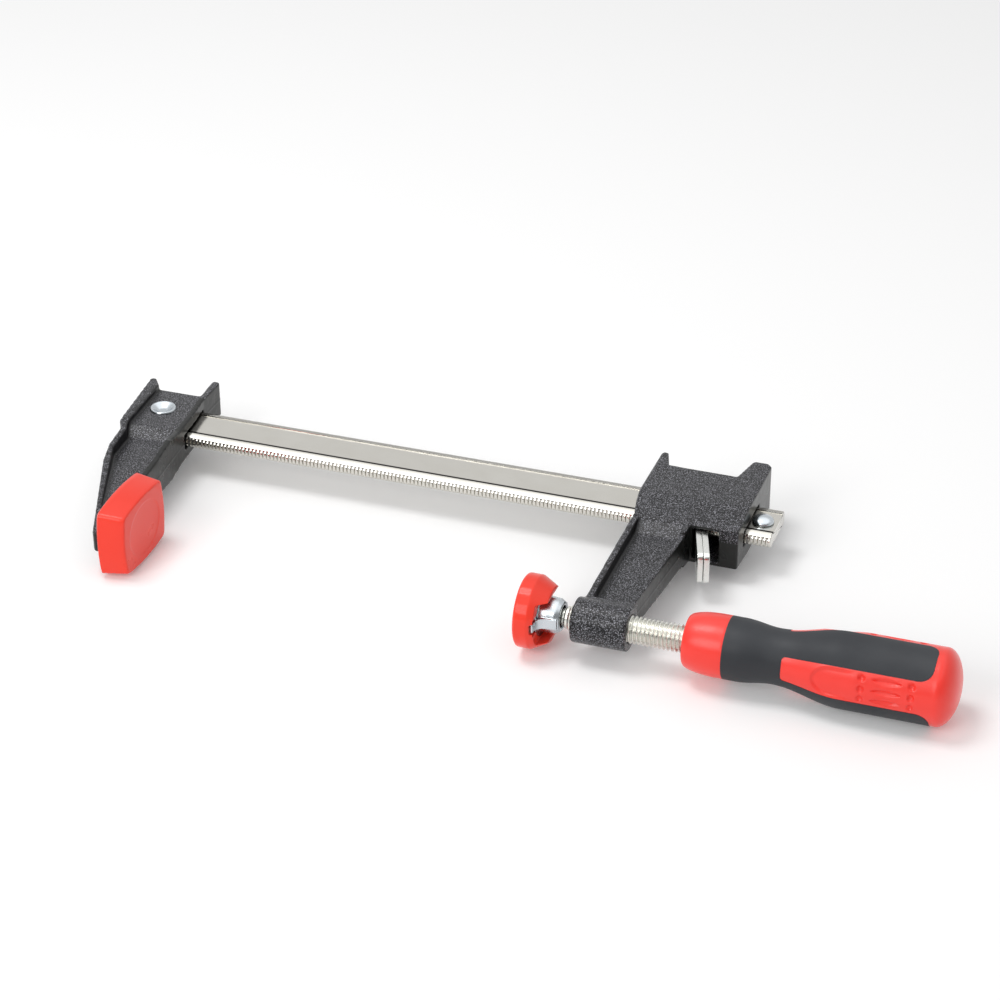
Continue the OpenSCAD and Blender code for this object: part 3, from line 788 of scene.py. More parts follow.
@dataclass(frozen=True)
class Moulding:
    """A moulded polymer, hard and glossy or soft and matt.

    The red one is polypropylene from a polished mould: the eye sees a clear soft highlight with
    a slight orange peel. The caps are vinyl, dipped and then glossy enough for crisp glints on
    their edges. The black one is a thermoplastic elastomer from a blasted mould: the eye sees a
    dull, even black with a very fine tooth.
    """

    name: str
    colour: str
    cloud: str
    roughness: float
    tooth_mm: float
    tooth_depth_mm: float
    coat: float = 0.0
    coat_roughness: float = 0.2
    specular: float = 0.45
    cloud_mm: float = 14.0
    haze: Pair = (0.9, 1.15)  # shares of the roughness in the clear and the hazy clouds

    def make(self) -> Material:
        """Builds the material.

        Returns:
            The finished material.
        """
        material, tree, shader, place = blank_material(self.name)
        shader.inputs["IOR"].default_value = 1.49
        shader.inputs["Specular IOR Level"].default_value = self.specular
        shader.inputs["Coat Weight"].default_value = self.coat
        shader.inputs["Coat Roughness"].default_value = self.coat_roughness
        wide = {"Scale": per_metre(self.cloud_mm), "Detail": 3.0}
        clouds = add_node(tree, NOISE, None, wide, {"Vector": place}).outputs["Fac"]
        ends = {6: linear(self.colour), 7: linear(self.cloud)}
        tint = add_node(tree, MIX, RGBA, ends, {0: clouds})
        low, high = (self.roughness * share for share in self.haze)
        span = {"From Min": 0.3, "From Max": 0.7, "To Min": low, "To Max": high}
        haze = add_node(tree, RANGE, None, span, {"Value": clouds})
        small = {"Scale": per_metre(self.tooth_mm), "Detail": 2.0, "Roughness": 0.5}
        tooth = add_node(tree, NOISE, None, small, {"Vector": place}).outputs["Fac"]
        depth = {"Strength": 0.35, "Distance": self.tooth_depth_mm * MM}
        bump = add_node(tree, BUMP, None, depth, {"Height": tooth})
        dress(tree, shader, tint.outputs[2], haze.outputs[0], bump.outputs[0])
        return material


@dataclass
class Finishes:
    """The materials of the clamp."""

    coat: Material
    bar: Material
    screw: Material
    zinc: Material
    leaf: Material
    wire: Material
    red: Material
    cap: Material
    black: Material

    @classmethod
    def make(cls) -> Finishes:
        """Builds every material of the clamp.

        Returns:
            The set of finishes.
        """
        red = Moulding("moulded_polypropylene_red", "#F5382C", "#EE3127", 0.33, 0.7, 0.016, 0.15)
        cap = Moulding(
            "dipped_vinyl_red", "#F24231", "#EC3B2B", 0.3, 1.6, 0.01, 0.3, 0.07, specular=0.1
        )
        black = Moulding("overmoulded_elastomer_black", "#22252A", "#1E2126", 0.55, 0.35, 0.05)
        platings = [PlatedSteel(plating) for plating in Plating]
        bar, screw, zinc, leaf, wire = (steel.make() for steel in platings)
        plastics = (moulding.make() for moulding in (red, cap, black))
        return cls(WrinkleCoat().make(), bar, screw, zinc, leaf, wire, *plastics)


def finish_piece(piece: Piece, node: str, material: Material) -> None:
    """Dresses a piece and hands it to the frame in place of its CAD node.

    Args:
        piece: The finished piece.
        node: The CAD node that it replaces, on whose body it rides.
        material: The piece's material.
    """
    piece.data.materials.clear()
    piece.data.materials.append(material)
    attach(piece, frame["nodes"][node]["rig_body"])
    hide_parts(node)
    piece.data.calc_loop_triangles()
    LOG.info("%s: %d triangles, stands for %s", piece.name, len(piece.data.loop_triangles), node)


# Sub-assemblies -------------------------------------------------------------------------------


@dataclass
class NotchedBar:
    """Drawn steel bar with sunk faces, full round edges and a row of notches, and its end stop."""

    finishes: Finishes
    x0: float = -26.5
    x1: float = 225.7
    y0: float = -0.8
    y1: float = 20.2
    half: float = 2.8
    sink: float = 0.4
    rim_front: float = 3.3
    rim_back: float = 2.9
    cove: float = 0.4
    back_cove: float = 0.12
    back_power: float = 3.4
    face_edge: float = 3.0
    # where the painted shade line lies behind the step, and how dark the back rim is painted
    shade_line_rows: Pair = (1.5, 1.2)
    shade_line_y: Pair = (-0.3, 1.3)
    back_rim_shade: float = 0.4
    pitch: float = 1.5
    depth: float = 0.7
    mouth: float = 0.9
    chamfer: float = 0.3
    end_half: float = 10.0
    end_gap: float = 0.4
    stop_x: float = 220.3
    stop_r: float = 4.0
    stop_h: float = 2.5
    stop_hole: float = 2.95
    stop_gap: float = 0.03
    stop_sunk: float = 0.1
    stop_edge: float = 0.35
    stop_round: float = 0.25

    @property
    def middle(self) -> float:
        """Y halfway across the bar."""
        return (self.y0 + self.y1) / 2

    def back_edge(self, turn: float) -> Pair:
        """Point of the bar's back edge, which is a squarer round than the front one."""
        c, s = math.cos(turn), math.sin(turn)
        power = 2 / self.back_power
        across = self.half * abs(c) ** power
        return self.y1 - self.half + across, math.copysign(self.half * abs(s) ** power, s)

    def section(self) -> Points:
        """Draws the bar's cross-section.

        Returns:
            Points as (Y, Z), counter-clockwise.
        """
        half_turn = np.linspace(-math.pi / 2, math.pi / 2, 13)
        back = [self.back_edge(a) for a in half_turn]
        front = [
            (self.y0 + self.rim_front * (1 - math.cos(a)), -self.half * math.sin(a))
            for a in half_turn
        ]
        steps = np.linspace(0, 1, 5)
        down = smoothstep(0, 1, steps) * self.sink
        low, high, face = self.y1 - self.rim_back, self.y0 + self.rim_front, self.half - self.sink
        top = [(low - self.back_cove * t, self.half - d) for t, d in zip(steps, down)]
        top += [(low - self.face_edge, face), (high + self.face_edge, face)]
        # extra rows that carry the painted shade line behind the step
        top += [(high + self.cove + t, face) for t in self.shade_line_rows]
        top += [(high + self.cove * t, self.half - d) for t, d in zip(steps[::-1], down[::-1])]
        bottom = [(y, -z) for y, z in reversed(top)]
        return np.array([*back, *top, *front, *bottom])

    def stations(self) -> list[float]:
        """Places along the bar where the notch row needs a ring.

        Returns:
            X values from end to end.
        """
        count = int((self.x1 - self.x0 - self.pitch) // self.pitch)
        middles = [self.x1 - (i + 1) * self.pitch for i in range(count)]
        offsets = (-self.mouth / 2, -self.mouth / 4, self.mouth / 4, self.mouth / 2)
        places = [m + o for m in reversed(middles) for o in offsets]
        inner = [x for x in places if self.x0 + self.end_gap < x < self.x1 - self.end_gap]
        return [self.x0, self.x0 + self.chamfer, *inner, self.x1 - self.chamfer, self.x1]

    def bar(self) -> None:
        """Builds the bar."""
        section = self.section()
        centre = np.array([self.middle, 0.0])
        shrunk = 1 - self.chamfer / np.array([self.end_half, self.half])
        rings = []
        for x in self.stations():
            share = shrunk if x in (self.x0, self.x1) else 1.0
            rings.append(at_x(x, centre + (section - centre) * share))
        piece = solid("notched_bar", *loft(rings))
        self.paint_step_shade(piece.data)
        origin = in_frame([[self.x1 - self.pitch, self.y0, 0.0]])[0]
        sizes = {
            "Pitch": self.pitch * MM,
            "Depth": self.depth * MM,
            "Mouth": self.mouth * MM,
            "Notch X": float(origin[0]),
            "Last X": float(origin[0]) + 0.4 * self.pitch * MM,
            "Edge Y": float(origin[1]),
        }
        run_tree(piece, notch_tree(self.finishes.bar), sizes, 25)
        finish_piece(piece, "bar", self.finishes.bar)

    def paint_step_shade(self, mesh: Mesh) -> None:
        """Marks painted shade: a dark line at the foot of the step behind the notched edge, and a
        darker back rim.

        Args:
            mesh: The bar's mesh.
        """
        (_, y, z), _ = surface(mesh)
        past = y - (self.y0 + self.rim_front + self.cove)
        low = np.abs(z) < self.half - 0.55 * self.sink
        near = (past > self.shade_line_y[0]) & (past < self.shade_line_y[1])
        back = (y > self.y1 - self.rim_back) * self.back_rim_shade
        mark(mesh, "painted_shade", np.where(low & near, 1.0, back))

    def end_stop(self) -> None:
        """Builds the rivet that stops the sliding jaw."""
        seat = self.half - self.sink + self.stop_gap
        rise = self.stop_h - self.stop_edge
        crown = [
            (self.stop_r * math.cos(a), seat + self.stop_edge + rise * math.sin(a))
            for a in np.linspace(0, math.pi / 2, 12)
        ]
        foot = [(self.stop_hole, seat - self.stop_sunk), (self.stop_r - self.stop_round, seat)]
        upper = [*foot, (self.stop_r, seat + self.stop_round), *crown]
        piece = solid(
            "end_stop_dome",
            *turned(mirrored(upper), 48, lambda z, a, b: [self.stop_x + a, self.middle + b, z]),
        )
        finish_piece(piece, "end_stop_rivet", self.finishes.zinc)

    def build(self) -> None:
        """Builds the bar and its end stop."""
        self.bar()
        self.end_stop()


@dataclass
class FixedHead:
    """Cast fixed jaw with its flush rivet and the red cap on its tip."""

    finishes: Finishes
    voxel: float = 0.38
    right_edge: tuple[Pair, ...] = (
        (-63.4, -1.9), (-28.0, -2.5), (-16.0, -3.6), (11.0, -5.5), (21.0, -6.7),
    )
    rim_width: float = 2.0
    flange_gap: float = 6.0
    wall_x: Pair = (-8.0, -1.0)
    rivet_x: float = -18.5
    rivet_y: float = 9.7
    plate_z: float = 7.13
    head_r: float = 5.2
    shank_r: float = 3.0
    proud: float = 0.6
    lip_r: float = 4.55
    bowl: tuple[Pair, ...] = ((0.0, -1.6), (1.7, -1.55), (2.4, -1.25), (4.1, -0.14))
    pad_x0: float = -1.87
    pad_x1: float = 8.4
    pad_y: float = -63.4
    pad_len: float = 36.0
    pad_tall: float = 28.0
    bulge: float = 1.5
    draft: float = 0.92
    back_edge: float = 0.35
    edge: float = 0.65
    mean_half: float = 15.0
    oval: Pair = (12.2, 10.0)
    dish_step: float = 0.1
    dish_deep: float = 0.24
    hole_half: Pair = (13.09, 9.41)
    hole_x: float = 4.43

    def casting(self) -> None:
        """Builds the jaw, with soft cast edges and a parting line on its smooth right wall."""
        piece = cad_copy("fixed_jaw_casting", "fixed_jaw")
        cast_skin(piece, self.voxel, 7)
        (x, y, _), _ = surface(piece.data)
        edge_y, edge_x = zip(*self.right_edge)
        edge = np.interp(y, edge_y, edge_x)
        strip = smoothstep(-0.3, 0.3, x - edge + self.rim_width) * (y < edge_y[-1] + 1)
        mark_walls(piece.data, strip, self.wall_x, edge - self.flange_gap)
        finish_piece(piece, "fixed_jaw", self.finishes.coat)

    def rivet(self) -> None:
        """Builds the flush rivet with its dished heads."""
        top = self.plate_z + self.proud
        lip = (self.lip_r, top)
        dish = rounded([*((r, top + z) for r, z in self.bowl), lip], 0.5)
        rim = [lip, (self.head_r - 0.4, top - 0.02), (self.head_r, self.plate_z - 0.1)]
        low = self.plate_z - 0.4
        upper = [(self.shank_r, low), (self.head_r, low), *rounded(rim, 0.3)[::-1], *dish[::-1]]
        piece = solid(
            "head_rivet_flush",
            *turned(mirrored(upper), 64, lambda z, a, b: [self.rivet_x + a, self.rivet_y + b, z]),
        )
        (x, y, _), _ = surface(piece.data)
        # Painted shadow ring at the head's outer edge
        away = np.hypot(x - self.rivet_x, y - self.rivet_y)
        mark(piece.data, "painted_shade", smoothstep(self.head_r - 0.2, self.head_r - 0.05, away))
        finish_piece(piece, "head_rivet", self.finishes.zinc)

    def outline(self, count: int = 240) -> Points:
        """Draws the cap's outline: four bulging sides with soft corners.

        Args:
            count: Number of points.

        Returns:
            Points as (Y, Z) about the cap's centre.
        """
        half_y, half_z = self.pad_len / 2, self.pad_tall / 2
        chord_y, chord_z = self.pad_len - 2 * self.bulge, self.pad_tall - 2 * self.bulge
        radius_y = (chord_z**2 / 4 + self.bulge**2) / (2 * self.bulge)
        radius_z = (chord_y**2 / 4 + self.bulge**2) / (2 * self.bulge)
        angles = np.linspace(0, 2 * np.pi, count, endpoint=False)
        ways = np.column_stack([np.cos(angles), np.sin(angles)])
        radii = np.array([radius_y, radius_z])
        offsets = np.array([half_y, half_z]) - radii
        along = offsets * np.abs(ways)
        reach = along + np.sqrt((along**2 - offsets**2 + radii**2).clip(0))
        points = ways * reach.min(axis=1)[:, None]
        for _ in range(4):
            points = (np.roll(points, 1, 0) + 2 * points + np.roll(points, -1, 0)) / 4
        return points

    def cap(self) -> None:
        """Builds the red cap, with a shallow oval dish in its face and the hole for the jaw."""
        outline = self.outline()
        angle = np.arctan2(outline[:, 1] / self.pad_tall, outline[:, 0] / self.pad_len)
        oval = np.column_stack([np.cos(angle), np.sin(angle)]) * self.oval
        depth = self.pad_x1 - self.pad_x0

        def ring(x: float, shape: Points) -> Points:
            """Places one outline at X."""
            return at_x(x, shape + (self.pad_y, 0.0))

        def scaled(x: float, inset: float) -> Points:
            """Outline at X, drawn in by the draft and an inset."""
            share = 1 - (1 - self.draft) * (x - self.pad_x0) / depth
            return outline * share * (1 - inset / self.mean_half)

        rings = [ring(self.pad_x0, scaled(self.pad_x0, self.back_edge))]
        side_x = np.linspace(self.pad_x0 + 2, self.pad_x1 - self.edge, 6)
        rings += [ring(x, scaled(x, 0.0)) for x in (self.pad_x0 + self.back_edge, *side_x)]
        for a in np.linspace(0.25, 1, 5) * math.pi / 2:
            x = self.pad_x1 - self.edge * (1 - math.sin(a))
            rings.append(ring(x, scaled(x, self.edge * (1 - math.cos(a)))))
        face = scaled(self.pad_x1, self.edge)
        for t in (0.25, 0.5, 0.75, 0.9, 1.0):
            rings.append(ring(self.pad_x1, face * (1 - t) + oval * t))
        for t in (0.97, 0.93, 0.86, 0.7, 0.5, 0.3, 0.1, 0.0):
            dish = self.dish_step + self.dish_deep * (1 - t * t)
            rings.append(ring(self.pad_x1 - dish, oval * t))
        stretch = (self.hole_half / np.abs(outline).clip(1e-6)).min(axis=1)
        hole = outline * stretch[:, None]
        levels = ((self.hole_x, 0), (self.hole_x, 0.98), (self.pad_x0 + 0.3, 1))
        inner = [ring(x, hole * share) for x, share in (*levels, (self.pad_x0, 1.015))]
        piece = solid("fixed_pad_cap", *loft([*inner, *rings], caps=False), sharp=50)
        finish_piece(piece, "fixed_pad", self.finishes.cap)

    def build(self) -> None:
        """Builds the fixed jaw, its rivet and its cap."""
        self.casting()
        self.rivet()
        self.cap()


def mark_walls(mesh: Mesh, extra: Points, wall_x: Pair, flange_x: Points) -> None:
    """Marks a casting's smooth walls, paints shade on its recessed walls and the web beside them,
    and raises the parting line on its right.

    Args:
        mesh: The casting's mesh.
        extra: How far each point belongs to other smooth skin, or below 0 to keep it rough.
        wall_x: Lowest and highest X of the right wall in the drawing.
        flange_x: X at each point up to which a wall that faces right is the left flange's.
    """
    rows, normals = surface(mesh)
    (x, _, z), points = rows, rows.T
    to_right, steep = normals[:, 0], np.abs(normals[:, 2])
    smooth = np.where(extra < 0, 0, np.maximum(smoothstep(0.5, 0.25, steep), extra))
    mark(mesh, "smooth_wall", smooth)
    # Painted shade on the flange walls that face right
    inner = smoothstep(0.35, 0.7, to_right) * (x < flange_x)
    hollow = points[inner > 0.6]
    tree = KDTree(len(hollow))
    for i, point in enumerate(hollow):
        tree.insert(point, i)
    tree.balance()
    # Painted shade on the web beside those walls, fading with distance from them
    for i in np.flatnonzero((steep > 0.7) & (x < flange_x + 3)):
        side, _, gap = tree.find(points[i])
        if side is not None and abs(side[2]) > abs(z[i]) - 0.1:
            inner[i] = max(inner[i], 0.85 * float(smoothstep(RECESS_SHADE, 0.2, gap)))
    mark(mesh, "painted_recess_shade", inner)
    right = smoothstep(0.72, 0.93, to_right) * ((x > wall_x[0]) & (x < wall_x[1]))
    bead = BEAD * right * np.clip(1 - np.abs(z) / BEAD_HALF, 0, 1)
    moved = in_frame(points + normals * bead[:, None])
    mesh.vertices.foreach_set("co", moved.astype(np.float32).ravel())
    mesh.update()


@dataclass
class SlidingHead:
    """Cast sliding jaw with the two clutch leaves and their spring."""

    finishes: Finishes
    voxel: float = 0.42
    arm_x: Pair = (190.0, 200.5)
    boss_y: float = -60.0
    window_x: float = 207.0
    wrap_z: float = 2.6
    flange_x: float = 186.0
    wire_r: float = 0.25
    coil_r: float = 1.55
    coil_y: float = 22.4
    coil_x: Pair = (195.65, 207.8)
    lead_x: Pair = (194.14, 208.8)
    turns: int = 8
    turn_steps: int = 20
    leaf_edge: float = 0.22
    wall_x: float = 208.9
    squeezed: float = 0.45

    def casting(self) -> None:
        """Builds the sliding jaw."""
        piece = cad_copy("sliding_jaw_casting", "sliding_jaw")
        cast_skin(piece, self.voxel, 7)
        (x, y, z), normals = surface(piece.data)
        dipped = (normals[:, 1] < -0.5) & (x > self.window_x) & (z > self.wrap_z)
        rough = np.where((y < self.boss_y) | dipped, -1.0, 0.0)
        flange_x = np.where(y < self.boss_y + 0.5, -np.inf, self.flange_x)
        mark_walls(piece.data, rough, self.arm_x, flange_x)
        finish_piece(piece, "sliding_jaw", self.finishes.coat)

    def leaf(self, name: str, node: str) -> None:
        """Builds one stamped clutch leaf with burnished edges.

        Args:
            name: Name of the piece.
            node: The CAD node that it replaces.
        """
        piece = cad_copy(name, node, flat=True)
        limits = {"limit_method": "ANGLE", "angle_limit": 0.6}
        add_modifier(piece, "BEVEL", width=self.leaf_edge * MM, segments=3, **limits)
        bake(piece)
        shade(piece.data, 50)
        finish_piece(piece, node, self.finishes.leaf)

    def spring(self) -> None:
        """Winds the clutch spring as one fixed coil; the real one squashes as the leaves
        straighten.
        """
        turns = np.linspace(0, self.turns, self.turns * self.turn_steps + 1)
        low, high = self.coil_x
        x = low + (high - low) * turns / self.turns
        y = self.coil_y + self.coil_r * np.cos(2 * np.pi * turns)
        coil = np.column_stack([x, y, self.coil_r * np.sin(2 * np.pi * turns)])
        ends = [[x, self.coil_y + self.coil_r, 0.0] for x in self.lead_x]
        piece = path_object("clutch_coil", np.array([ends[0], *coil, ends[1]]), closed=False)
        run_tree(piece, wire_tree(self.finishes.wire), {"Wire radius": self.wire_r * MM}, 60)
        finish_piece(piece, "clutch_spring", self.finishes.wire)
        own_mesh(piece)

    def build(self) -> None:
        """Builds the sliding jaw and its clutch."""
        self.casting()
        self.leaf("clutch_leaf_front", "clutch_plate_front")
        self.leaf("clutch_leaf_rear", "clutch_plate_rear")
        self.spring()


@dataclass
class ScrewDrive:
    """Spindle with a rolled thread and a ball at its end, and the ring behind the ball."""

    finishes: Finishes
    ball_x: float = 164.2
    ball_r: float = 4.1
    neck_r: float = 3.1
    collar_x0: float = 171.8
    root_gap: float = 0.04
    thread_x0: float = 174.0
    thread_x1: float = 214.5
    radius: float = 4.95
    pitch: float = 1.5
    depth: float = 0.88
    run_out: float = 0.8
    ring_step: float = 0.13
    tang_r: float = 4.6
    tang_x1: float = 249.7
    tang_edge: float = 0.8
    ring_x: float = 167.3
    ring_wire: float = 0.35

    def spindle(self) -> None:
        """Builds the spindle."""
        start = math.acos(self.neck_r / self.ball_r)
        ball = [
            (self.ball_r * math.cos(a), self.ball_x + self.ball_r * math.sin(a))
            for a in np.linspace(-math.pi / 2, start, 22)
        ]
        root = self.radius - self.depth - self.root_gap
        neck_x = self.ball_x + self.ball_r * math.sin(start) + 0.1
        shoulder = [(self.neck_r, neck_x), (self.neck_r, self.collar_x0)]
        shoulder += [(root, self.collar_x0 + 0.4), (root, self.thread_x0 - self.run_out)]
        shoulder = rounded([*shoulder, (self.radius, self.thread_x0)], 0.25)
        count = int((self.thread_x1 - self.thread_x0) / self.ring_step)
        shaft = [(self.radius, x) for x in np.linspace(self.thread_x0, self.thread_x1, count)]
        tang = [(self.tang_r, self.thread_x1 + 0.05), (self.tang_r, self.tang_x1 - self.tang_edge)]
        tang += [(self.tang_r - self.tang_edge, self.tang_x1), (0.0, self.tang_x1)]
        profile = [*ball, *shoulder, *shaft, *tang]
        piece = solid("threaded_spindle", *turned(profile, 56, on_spindle))
        low, high = in_frame([[self.thread_x0, AXIS_Y, 0.0], [self.thread_x1, AXIS_Y, 0.0]])
        sizes = {
            "Pitch": self.pitch * MM,
            "Depth": self.depth * MM,
            "Axis Y": float(low[1]),
            "Axis Z": float(low[2]),
            "Start X": float(low[0]),
            "End X": float(high[0]),
            "Run-out": self.run_out * MM,
        }
        run_tree(piece, thread_tree(self.finishes.screw), sizes, 180)
        finish_piece(piece, "spindle", self.finishes.screw)

    def retainer(self) -> None:
        """Builds the wire ring that keeps the ball in its cup."""
        radius = self.neck_r + 0.05 + self.ring_wire
        path = [
            on_spindle(self.ring_x, radius * math.cos(a), radius * math.sin(a))
            for a in np.linspace(0, 2 * math.pi, 48, endpoint=False)
        ]
        piece = path_object("ball_retainer", np.array(path), closed=True)
        run_tree(piece, wire_tree(self.finishes.wire), {"Wire radius": self.ring_wire * MM}, 180)
        finish_piece(piece, "retaining_ring", self.finishes.wire)

    def build(self) -> None:
        """Builds the spindle and its ring."""
        self.spindle()
        self.retainer()


@dataclass
class SwivelFoot:
    """Pressed steel cup around the ball and the red pad that is snapped over it."""

    finishes: Finishes
    cup_outline: tuple[Pair, ...] = (
        (0.0, 158.9), (5.6, 158.9), (6.2, 159.6), (6.2, 162.1), (8.2, 162.1), (8.2, 163.2),
        (6.5, 163.2), (6.45, 166.0), (6.15, 169.2), (5.2, 170.78), (4.1, 170.78), (4.0, 169.9),
        (4.6, 167.9), (4.6, 159.7), (0.0, 159.7),
    )
    strap_path: tuple[Pair, ...] = ((170.2, 6.25), (165.0, 6.9), (163.5, 8.8), (163.2, 11.4))
    strap_t: float = 0.95
    strap_half: float = 2.0
    flare_r: Pair = (7.0, 10.0)
    leg_half: float = 1.6
    leg_r: float = 9.2
    play: float = 0.2
    claw_z: float = 7.9
    hook_z: Pair = (5.0, 9.2)
    short_x: float = 164.7
    collar_x: Pair = (163.35, 166.2)
    collar_r: float = 6.8
    cone: tuple[float, float, float] = (13.1, 161.3, 0.54)
    cone_edge: Pair = (0.35, 0.3)

    def strap(self, side: int) -> Piece:
        """Bends one strap, which runs down the cup's side and out into its leg.

        Args:
            side: 1 for the strap nearer the bar, -1 for the other.

        Returns:
            The strap as an object of its own.
        """
        path = rounded(self.strap_path, 1.6, 6)
        ahead = np.gradient(path, axis=0)
        ahead /= np.linalg.norm(ahead, axis=1)[:, None]
        inner = path + self.strap_t * np.column_stack([-ahead[:, 1], ahead[:, 0]])
        rings = []
        for (x0, r0), (x1, r1) in zip(path, inner):
            narrowed = (self.strap_half - self.leg_half) * smoothstep(*self.flare_r, r0)
            half = self.strap_half - narrowed
            corners = [(x0, r0, -half), (x0, r0, half), (x1, r1, half), (x1, r1, -half)]
            rings.append(np.array([[x, AXIS_Y + side * r, z] for x, r, z in corners]))
        return solid("strap", *loft(rings))

    def cup(self) -> None:
        """Builds the cup, with the two straps that run down its sides into the legs."""
        profile = rounded(self.cup_outline, 0.3, 3)
        piece = solid("swivel_cup_pressing", *turned(profile, 96, on_spindle))
        for side in (-1, 1):
            merge_in(piece, self.strap(side))
        cast_skin(piece, 0.15, 3)
        finish_piece(piece, "swivel_cup", self.finishes.zinc)

    def cut(self, piece: Piece, low: Sequence, high: Sequence) -> None:
        """Cuts a box out of a piece.

        Args:
            piece: The piece to cut.
            low: The box's lowest corner, with Y measured from the spindle's axis.
            high: Its highest corner.
        """
        corners = [(x, AXIS_Y + y, z) for x, y, z in product(*zip(low, high))]
        faces = [(0, 1, 3, 2), (4, 6, 7, 5), (0, 4, 5, 1), (2, 3, 7, 6), (0, 2, 6, 4), (1, 5, 7, 3)]
        cutter = solid("cutter", np.array(corners), faces)
        add_modifier(piece, "BOOLEAN", operation="DIFFERENCE", solver="EXACT", object=cutter)
        bake(piece)
        bpy.data.objects.remove(cutter)

    def pad(self) -> None:
        """Builds the pad with its two claws and the collar that holds the cup between them."""
        piece = cad_copy("swivel_pad_cap", "swivel_pad")
        low, high = self.collar_x
        left, right = low - 1, high + 1
        self.cut(piece, (low + 0.1, -FAR, -self.claw_z), (high + 2, FAR, self.claw_z))
        radius, start, slope = self.cone
        inset, drop = self.cone_edge
        rim = [(radius - slope * (x - start), x) for x in np.linspace(low, high - drop, 5)]
        rim += [(rim[-1][0] - inset, high), (self.collar_r, high), (self.collar_r, low), rim[0]]
        collar = solid("cone_collar", *turned(rim, 96, on_spindle))
        gap = self.strap_half + self.play
        self.cut(collar, (left, -FAR, -self.claw_z), (right, 0, gap))
        self.cut(collar, (left, 0, -gap), (right, FAR, self.hook_z[0]))
        self.cut(collar, (self.short_x, -FAR, gap), (right, 0.1, FAR))
        self.cut(collar, (self.short_x, 0, self.hook_z[1]), (right, FAR, FAR))
        merge_in(piece, collar)
        slot = self.leg_half + 0.35
        for near, far in ((-FAR, -self.leg_r), (self.leg_r, FAR)):
            self.cut(piece, (left - 0.1, near, -slot), (right, far, slot))
        cast_skin(piece, 0.24, 4)
        finish_piece(piece, "swivel_pad", self.finishes.cap)

    def build(self) -> None:
        """Builds the cup and the pad."""
        self.cup()
        self.pad()


